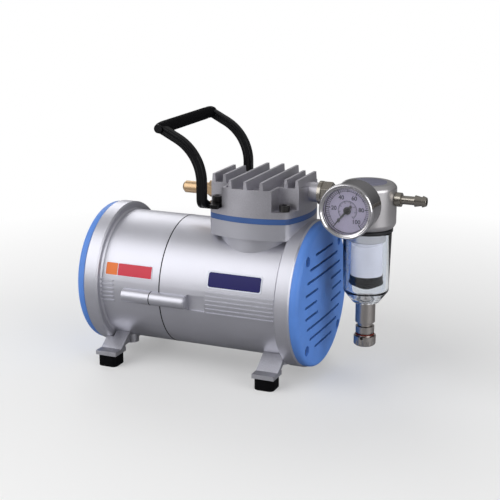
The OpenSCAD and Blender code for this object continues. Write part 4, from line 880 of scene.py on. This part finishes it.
wave += [(grip_half - GRIP_CHAMFER, grip_radius), (grip_half, shoulder), (grip_half, 0.0)]
grip = lathe("ribbed_grip", wave, grip_middle, REARWARDS, black_rubber, "pump")
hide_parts("handle_grip")
print("grip rings:", grip_rings)

# %% [markdown]
# ## End caps of the grip
#
# Over each eye sits a domed rubber cap that hides the end screw. It starts just
# inside the sleeve's end, and its dome narrows in two steps.

# %% Grip caps
CAP_SINK, CAP_SKIRT, CAP_DOME, CAP_END = -0.2, 2.2, 5.6, 6.8
CAP_SINK_R, CAP_SKIRT_R = grip_radius - 0.3, grip_radius - 0.2
CAP_DOME_R, CAP_END_R, CAP_ROUNDING = 4.4, 3.4, 1.2
grip_cap = rounded([
    (CAP_SINK, 0.0), (CAP_SINK, CAP_SINK_R), (CAP_SKIRT, CAP_SKIRT_R), (CAP_DOME, CAP_DOME_R),
    (CAP_END, CAP_END_R), (CAP_END, 0.0),
], CAP_ROUNDING)
for side, where in SIDES:
    cap_at = grip_middle + Vector((0, side * grip_half * MM, 0))
    lathe("grip_cap_" + where, grip_cap, cap_at, (0, side, 0), black_rubber, "pump")
print("caps reach", CAP_END, "mm past the sleeve")

# %% [markdown]
# ## Places on the gauge's face
#
# The dial is a pale printed disc. All its print is told by a radius and an
# angle from the top, so one helper turns these into a place. Marks are thin
# blocks and arcs are thin bands, because real geometry keeps its edge at any
# distance.

# %% Marks and arcs
ink = moulded("dial_ink", (0.03, 0.03, 0.06), 0.5, 0.3, 0.01)
DIAL_R = 17.2
SWEEP = 280.0
FIRST_MARK = -SWEEP / 2
PRINT_LIFT, MARK_T, ARC_T, ARC_STEPS = 0.04, 0.08, 0.05, 90
dial_low, dial_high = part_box("gauge_dial")
dial_middle = (Vector(dial_low) + Vector(dial_high)) / 2
dial_front = dial_low[1] - PRINT_LIFT * MM


def on_dial(radius, degrees):
    """A point on the dial, its angle clockwise from the top."""
    turn = math.radians(degrees)
    across, height = radius * math.sin(turn) * MM, radius * math.cos(turn) * MM
    return Vector((dial_middle.x + across, dial_front, dial_middle.z + height))


def dial_mark(work, degrees, inner, outer, wide):
    """One mark as a thin upright block."""
    turn = Matrix.Rotation(math.radians(degrees), 4, "Y")
    size = Matrix.Diagonal((wide * MM, MARK_T * MM, (outer - inner) * MM, 1))
    middle = Matrix.Translation(on_dial((inner + outer) / 2, degrees))
    bmesh.ops.create_cube(work, size=1.0, matrix=middle @ turn @ size)


def dial_arc(name, radius, wide):
    """A thin printed arc over the gauge's sweep."""
    work = bmesh.new()
    ends = [work.verts.new(on_dial(radius + side * wide / 2, FIRST_MARK)) for side in (-1, 1)]
    line = work.edges.new(ends)
    bmesh.ops.spin(
        work, geom=[line] + ends, cent=dial_middle, axis=REARWARDS, angle=math.radians(SWEEP),
        steps=ARC_STEPS, use_merge=False,
    )
    bmesh.ops.recalc_face_normals(work, faces=work.faces)
    bmesh.ops.solidify(work, geom=work.faces, thickness=ARC_T * MM)
    bmesh.ops.recalc_face_normals(work, faces=work.faces)
    return add_piece(name, work, ink, "pump")


print("dial radius:", DIAL_R, "mm")

# %% [markdown]
# ## The bezel
#
# The bezel is a ring of thin chromed sheet, rolled over the case's edge. Its
# front is a narrow crest that slopes in to a lip on the glass. The crest catches
# the light as one bright ring, so the outline's corners are kept small. A thin
# dark ink ring on the dial's edge, inside the lip, is painted shadow of the bezel.

# %% Rolled bezel and the painted shadow ring on the dial
BEZEL_R, BEZEL_DEPTH, CASE_R, LIP_R = 21.3, 4.5, 20.0, 17.9
ROLL_DEPTH, CREST_OUT_R, CREST_IN_R = 0.9, 20.5, 19.9
SLOPE_END, SLOPE_END_R, LIP_FRONT, LIP_BACK = 1.1, 18.8, 1.2, 1.8
BEZEL_ROUNDING = 0.45
SHADOW_RING_HALF, SHADOW_RING_WIDE = 0.04, 0.6
bezel_section = rounded([
    (BEZEL_DEPTH, CASE_R), (BEZEL_DEPTH, BEZEL_R), (ROLL_DEPTH, BEZEL_R), (0.0, CREST_OUT_R),
    (0.0, CREST_IN_R), (SLOPE_END, SLOPE_END_R), (LIP_FRONT, LIP_R), (LIP_BACK, LIP_R), (LIP_BACK, CASE_R),
], BEZEL_ROUNDING)
bezel_at = Vector((dial_middle.x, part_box("gauge_bezel")[0][1], dial_middle.z))
bezel = lathe("rolled_bezel", closed(bezel_section), bezel_at, REARWARDS, chrome, "pump", FINE_STEPS)
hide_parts("gauge_bezel")
# The dark ink ring at the dial's edge is painted shadow: the shade that the bezel casts on the dial.
shadow_ring_at = Vector((dial_middle.x, dial_front, dial_middle.z))
shadow_ring_outline = ring_outline(SHADOW_RING_HALF, DIAL_R, DIAL_R + SHADOW_RING_WIDE)
lathe("painted_bezel_shadow_ring", shadow_ring_outline, shadow_ring_at, REARWARDS, ink, "pump", FINE_STEPS)
print("bezel radius:", BEZEL_R, "mm")

# %% [markdown]
# ## Scales
#
# Two scales share the sweep: an outer one with fifty parts and a small inner one
# with thirty-five. Longer marks stand at each fifth and tenth part, so that the
# eye can count them.

# %% Two scales
OUTER_ARC_R, INNER_R = DIAL_R - 2.4, 7.4
OUTER_ARC_WIDE, INNER_ARC_WIDE = 0.30, 0.34
INNER_DIVISIONS, DIVISIONS = 35, 50
LONG_EVERY, HALF_EVERY = 10, 5
LONG_MARK, HALF_MARK, SHORT_MARK = (3.6, 0.8), (3.0, 0.6), (2.4, 0.36)
INNER_LONG_MARK, INNER_SHORT_MARK = (1.9, 0.45), (1.1, 0.28)
dial_arc("outer_scale_arc", OUTER_ARC_R, OUTER_ARC_WIDE)
dial_arc("inner_scale_arc", INNER_R, INNER_ARC_WIDE)
marks = bmesh.new()
for step in range(INNER_DIVISIONS + 1):
    long, wide = INNER_SHORT_MARK if step % HALF_EVERY else INNER_LONG_MARK
    dial_mark(marks, FIRST_MARK + SWEEP * step / INNER_DIVISIONS, INNER_R - long, INNER_R, wide)
for step in range(DIVISIONS + 1):
    half_or_short = SHORT_MARK if step % HALF_EVERY else HALF_MARK
    long, wide = half_or_short if step % LONG_EVERY else LONG_MARK
    dial_mark(marks, FIRST_MARK + SWEEP * step / DIVISIONS, DIAL_R - long, DIAL_R, wide)
add_piece("dial_marks", marks, ink, "pump")
print("dial marks:", DIVISIONS + 1, "and", INNER_DIVISIONS + 1)

# %% [markdown]
# ## Numbers
#
# Plain numbers from 0 to 100 stand by the long marks. Blender's own font is
# turned into a mesh at once, a little bolder than it comes, and each number is
# laid on the dial upright.

# %% Numbers on the dial
NUMBERS, NUMBER_STEP = 6, 20
NUMBER_SIZE, NUMBER_BOLD, NUMBER_HALF_T, NUMBER_R = 4.4, 0.14, 0.03, 10.9


def number_mesh(text):
    """A number as a flat mesh, its middle at the origin."""
    words = bpy.data.curves.new("dial_number", "FONT")
    words.body = text
    words.align_x = "CENTER"
    words.align_y = "CENTER"
    words.size = NUMBER_SIZE * MM
    words.offset = NUMBER_BOLD * MM
    words.extrude = NUMBER_HALF_T * MM
    flat = bpy.data.objects.new("dial_number", words)
    bpy.context.scene.collection.objects.link(flat)
    shape = bpy.data.meshes.new_from_object(flat.evaluated_get(bpy.context.evaluated_depsgraph_get()))
    bpy.data.objects.remove(flat)
    return shape


upright = Matrix.Rotation(math.pi / 2, 4, "X")
for number in range(NUMBERS):
    text = str(number * NUMBER_STEP)
    work = bmesh.new()
    work.from_mesh(number_mesh(text))
    spot = on_dial(NUMBER_R, FIRST_MARK + SWEEP * number / (NUMBERS - 1))
    bmesh.ops.transform(work, matrix=Matrix.Translation(spot) @ upright, verts=work.verts)
    add_piece("dial_number_" + text, work, ink, "pump")
print("numbers:", NUMBERS)

# %% [markdown]
# ## The pointer's hub
#
# A small domed hub holds the pointer on its spindle. It rides on the pointer's
# body, so both turn as one.

# %% Pointer hub
HUB_R, HUB_T, HUB_ROUNDING, HUB_STEPS = 3.0, 0.9, 0.6, 32
hub_at = Vector((dial_middle.x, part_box("gauge_pointer")[0][1], dial_middle.z))
hub = rounded([(0.0, 0.0), (0.0, HUB_R), (HUB_T, HUB_R), (HUB_T, 0.0)], HUB_ROUNDING, steps=3)
lathe("pointer_hub", hub, hub_at, REARWARDS, pointer_paint, "pointer", HUB_STEPS)
print("hub radius:", HUB_R, "mm")

# %% [markdown]
# ## The clear bowl
#
# A moulded bowl is one revolved wall of even thickness with a rolled lip and a
# cone at its foot. A fine lathe makes it, because coarse facets show at once in
# anything clear.

# %% Bowl
TRAP_X = 88.5
BOWL_TOP_R, BOWL_LOW_R, BOWL_NECK_R, DRAIN_HOLE_R = 19.5, 18.2, 10.5, 4.9
BOWL_WALL, BOWL_CONE, BOWL_FLOOR, INNER_CONE_RISE = 2.0, 10.0, 2.2, 1.2
BOWL_ROUNDING, BOWL_SHARP_DEGREES, HAIR = 1.2, 60, 0.01
trap_axis = place(TRAP_X, 0, 0)


def heights(node):
    """A node's lowest and highest point, in mm over the shaft."""
    return [(corner[2] - trap_axis.z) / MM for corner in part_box(node)]


bowl_low, bowl_high = heights("trap_bowl")
bowl_outline = rounded([
    (bowl_low + BOWL_FLOOR, DRAIN_HOLE_R), (bowl_low, DRAIN_HOLE_R), (bowl_low, BOWL_NECK_R),
    (bowl_low + BOWL_CONE, BOWL_LOW_R), (bowl_high, BOWL_TOP_R), (bowl_high, BOWL_TOP_R - BOWL_WALL),
    (bowl_low + BOWL_CONE + INNER_CONE_RISE, BOWL_LOW_R - BOWL_WALL),
    (bowl_low + BOWL_FLOOR, BOWL_NECK_R - BOWL_WALL), (bowl_low + BOWL_FLOOR, DRAIN_HOLE_R + HAIR),
], BOWL_ROUNDING)
bowl = lathe(
    "clear_bowl_wall", closed(bowl_outline), trap_axis, UPWARDS, clear_plastic, "bowl",
    FINE_STEPS, BOWL_SHARP_DEGREES,
)
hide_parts("trap_bowl")
print("bowl height:", round(bowl_high - bowl_low, 1), "mm")

# %% [markdown]
# ## The filter
#
# The filter is a sleeve of sintered plastic with a fine groove near each end. A
# black cap holds its lower end. Both are lathes, so the groove is four points in
# an outline and not a cut.

# %% Filter and its end cap
FILTER_R, FILTER_BORE_R, FILTER_ROUNDING = 13.0, 8.0, 0.3
FILTER_GROOVE = ((2.4, 0.0), (2.6, 0.4), (3.2, 0.4), (3.4, 0.0))
END_CAP_R, END_CAP_IN_R, END_CAP_ROUNDING = 13.35, 12.6, 0.5
END_CAP_OVER, END_CAP_UNDER, END_CAP_FLOOR = 5.2, 0.8, 0.4
filter_low, filter_high = heights("filter_element")
lower = [(filter_low + far, FILTER_R - deep) for far, deep in FILTER_GROOVE]
upper = [(filter_high - far, FILTER_R - deep) for far, deep in reversed(FILTER_GROOVE)]
filter_outline = rounded([
    (filter_low, FILTER_BORE_R), (filter_low, FILTER_R), *lower, *upper,
    (filter_high, FILTER_R), (filter_high, FILTER_BORE_R),
], FILTER_ROUNDING, steps=2)
sleeve = lathe(
    "filter_sleeve", closed(filter_outline), trap_axis, UPWARDS, white_plastic, "pump", ROUND_STEPS,
)
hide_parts("filter_element")
end_cap = rounded([
    (filter_low - END_CAP_UNDER, FILTER_BORE_R), (filter_low - END_CAP_UNDER, END_CAP_R),
    (filter_low + END_CAP_OVER, END_CAP_R), (filter_low + END_CAP_OVER, END_CAP_IN_R),
    (filter_low + END_CAP_FLOOR, END_CAP_IN_R), (filter_low + END_CAP_FLOOR, FILTER_BORE_R),
], END_CAP_ROUNDING, steps=3)
lathe("filter_end_cap", closed(end_cap), trap_axis, UPWARDS, black_rubber, "pump", ROUND_STEPS)
print("filter height:", round(filter_high - filter_low, 1), "mm")

# %% [markdown]
# ## The drip dish
#
# Under the filter hangs a black dish whose cone lets the water drip off in the
# middle. It is one outline, from the filter's end down to the tip.

# %% Drip dish
DISH_GAP, DISH_R, DISH_RIM, DISH_CONE, DISH_CONE_R, DISH_TIP_R = 0.2, 13.9, 2.0, 1.6, 7.5, 3.5
DISH_ROUNDING = 0.8
dish_low = heights("filter_baffle")[0]
dish = rounded([
    (filter_low - DISH_GAP, 0.0), (filter_low - DISH_GAP, DISH_R), (filter_low - DISH_RIM, DISH_R),
    (dish_low + DISH_CONE, DISH_CONE_R), (dish_low, DISH_TIP_R), (dish_low, 0.0),
], DISH_ROUNDING, steps=3)
baffle = lathe("drip_dish", dish, trap_axis, UPWARDS, black_rubber, "pump", ROUND_STEPS)
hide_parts("filter_baffle")
print("dish reaches", round(filter_low - dish_low, 1), "mm below the filter")

# %% [markdown]
# ## The drain's seal
#
# A red ring seals the drain knob on its body and shows as a thin line. It rides
# on the knob, with which it turns.

# %% Drain seal
SEAL_DOWN, SEAL_HALF, SEAL_IN_R, SEAL_OUT_R = 6.6, 0.4, 6.9, 7.62
seal_red = moulded("red_seal", (0.15, 0.018, 0.010), 0.55, 0.3, 0.01, shine=0.2)
knob_top = heights("drain_knob")[1]
seal_at = trap_axis + Vector((0, 0, (knob_top - SEAL_DOWN) * MM))
lathe("drain_seal", ring_outline(SEAL_HALF, SEAL_IN_R, SEAL_OUT_R), seal_at, UPWARDS, seal_red, "knob")
print("seal at", round(knob_top - SEAL_DOWN, 1), "mm from the shaft's height")

# %% [markdown]
# ## The trap's head
#
# The head of the trap is a round casting with a soft crown and a chin over the
# locking ring. A bevel of the drilled CAD node leaves creases round its ports,
# so the outside is one lathe, with normals that follow its large faces.

# %% Trap head casting
TRAP_R, SPIGOT_R, SPIGOT_LENGTH, CHIN, CHIN_IN, CROWN = 22.5, 15.6, 11.0, 3.4, 2.4, 3.0
TRAP_ROUNDING, TRAP_SHARP_DEGREES = 1.6, 60
trap_low, trap_high = heights("trap_head")
chin_low = trap_low + SPIGOT_LENGTH
trap_outline = rounded([
    (trap_low, 0.0), (trap_low, SPIGOT_R), (chin_low, SPIGOT_R), (chin_low, TRAP_R - CHIN_IN),
    (chin_low + CHIN, TRAP_R), (trap_high - CROWN, TRAP_R), (trap_high, TRAP_R - CROWN), (trap_high, 0.0),
], TRAP_ROUNDING, steps=5)
cast_head = lathe(
    "trap_head_casting", trap_outline, trap_axis, UPWARDS, trap_metal, "pump",
    FINE_STEPS, TRAP_SHARP_DEGREES, weighted=True,
)
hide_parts("trap_head")
print("trap head radius:", TRAP_R, "mm")

# %% [markdown]
# ## The plate on the trap
#
# A thin round plate lies in the middle of the trap's top, darker than the metal
# round it. It is a disc with a small rounded edge.

# %% Round plate
TOP_DISC_R, TOP_DISC_T, TOP_DISC_SINK, TOP_DISC_ROUNDING = 14.5, 0.25, 0.3, 0.2
disc_top, disc_under = trap_high + TOP_DISC_T, trap_high - TOP_DISC_SINK
disc = rounded([
    (disc_top, 0.0), (disc_top, TOP_DISC_R), (disc_under, TOP_DISC_R), (disc_under, 0.0),
], TOP_DISC_ROUNDING, steps=2)
lathe("trap_top_disc", disc, trap_axis, UPWARDS, top_disc_paint, "pump", ROUND_STEPS)
print("plate radius:", TOP_DISC_R, "mm")

# %% [markdown]
# ## The floor
#
# The pump stands on a plain pale floor that fades to white away from it, as a
# paper sweep does. The camera sees a pale floor with a share of glow that grows
# with distance. To all other rays the floor is a darker grey, so that it doesn't
# flood the pump's underside with light.

# %% Floor
FLOOR_HALF = 6.0
FLOOR_BOUNCE = (0.34, 0.34, 0.35, 1.0)
FADE_FROM, FADE_TO = 0.16, 0.60
FADE_SHARE, GLOW_SHARE = 0.70, 0.30
floor_mesh = bmesh.new()
bmesh.ops.create_grid(floor_mesh, x_segments=1, y_segments=1, size=FLOOR_HALF)
floor_finish = Finish("pale_floor", (0.88, 0.88, 0.88), Roughness=0.7)
rays = floor_finish.tree.nodes.new("ShaderNodeLightPath").outputs
camera_ray = Signal(floor_finish, rays["Is Camera Ray"])
seen = camera_ray.maths("MAXIMUM", camera_ray, Signal(floor_finish, rays["Is Transmission Ray"]))
floor_finish.feed("Base Color", floor_finish.blend(seen, FLOOR_BOUNCE, floor_finish.color))
spread = floor_finish.node("ShaderNodeVectorMath", {"operation": "LENGTH"}, {0: floor_finish.spots}, 1)
glow = floor_finish.node("ShaderNodeEmission", {}, {"Color": (1, 1, 1, 1), "Strength": 1.0})
fade = spread.over(FADE_FROM, FADE_TO) * seen
plain = Signal(floor_finish, floor_finish.shader.outputs[0])
amount = fade * FADE_SHARE + seen * GLOW_SHARE
ending = floor_finish.node("ShaderNodeMixShader", {}, {0: amount, 1: plain, 2: glow})
surface = floor_finish.tree.nodes["Material Output"].inputs["Surface"]
floor_finish.tree.links.new(ending.socket, surface)
floor_data = bpy.data.meshes.new("floor")
floor_mesh.to_mesh(floor_data)
floor_mesh.free()
floor_data.materials.append(floor_finish.material)
floor = bpy.data.objects.new("floor", floor_data)
bpy.context.scene.collection.objects.link(floor)
print("floor at Z = 0")

# %% [markdown]
# ## The room
#
# The room is white where the camera looks past the floor, and a soft grey dome
# elsewhere. Polished metal shows the room more than itself, so what it mirrors
# is a dome of its own, dark low down and brighter overhead.

# %% Room
DOME_LIGHT = 0.26
DOME_LOW, DOME_HIGH = 0.07, 0.45
DOME_FROM, DOME_TO = -0.1, 0.9
world = bpy.data.worlds.new("studio")
bpy.context.scene.world = world
world.use_nodes = True
room = world.node_tree
for made in list(room.nodes):
    room.nodes.remove(made)


def room_node(kind, settings, sockets, output=0):
    """Adds a node to the room's shader."""
    made = room.nodes.new(kind)
    for key, value in settings.items():
        setattr(made, key, value)
    for key, value in sockets.items():
        if isinstance(value, bpy.types.NodeSocket):
            room.links.new(value, made.inputs[key])
        else:
            made.inputs[key].default_value = value
    return made.outputs[output]


way = room_node("ShaderNodeTexCoord", {}, {}, "Generated")
height = room_node("ShaderNodeSeparateXYZ", {}, {"Vector": way}, "Z")
ramp = {"Value": height, "From Min": DOME_FROM, "From Max": DOME_TO, "To Min": DOME_LOW, "To Max": DOME_HIGH}
dome = room_node("ShaderNodeMapRange", {"clamp": True}, ramp)
path = room.nodes.new("ShaderNodeLightPath").outputs
mirrored_or_not = {"Factor": path["Is Glossy Ray"], 2: DOME_LIGHT, 3: dome}
unseen = room_node("ShaderNodeMix", {"data_type": "FLOAT"}, mirrored_or_not)
either = {0: path["Is Camera Ray"], 1: path["Is Transmission Ray"]}
looked_at = room_node("ShaderNodeMath", {"operation": "MAXIMUM"}, either)
strength = room_node("ShaderNodeMix", {"data_type": "FLOAT"}, {"Factor": looked_at, 2: unseen, 3: 1.0})
light = room_node("ShaderNodeBackground", {}, {"Color": (1, 1, 1, 1), "Strength": strength})
out = room.nodes.new("ShaderNodeOutputWorld")
room.links.new(light, out.inputs["Surface"])
print("nodes in the room:", len(room.nodes))

# %% [markdown]
# ## Lamps
#
# Soft studio light comes from three square lamps: a broad key high at the left
# front, a slightly weaker one at the right, and a small one behind on the left
# that lights the far sides and the tops. Large lamps close by give the round
# bodies their wide, soft streaks.

# %% Three soft lamps
MIDDLE = (0.0, 0.0, 0.08)


def soft_lamp(name, at, watts, size):
    """A square lamp that points at the pump's middle."""
    lamp = bpy.data.objects.new(name, bpy.data.lights.new(name, "AREA"))
    lamp.data.energy = watts
    lamp.data.size = size
    lamp.location = at
    lamp.rotation_euler = (Vector(MIDDLE) - Vector(at)).to_track_quat("-Z", "Y").to_euler()
    bpy.context.scene.collection.objects.link(lamp)


soft_lamp("key", (-0.85, -0.95, 0.80), 15.0, 1.5)
soft_lamp("fill", (1.35, -0.45, 0.50), 12.0, 1.2)
soft_lamp("back", (-1.00, 1.00, 1.00), 6.0, 0.9)
bpy.context.scene.view_settings.view_transform = "Standard"
print("lamps:", [light.name for light in bpy.data.lights])

# %% [markdown]
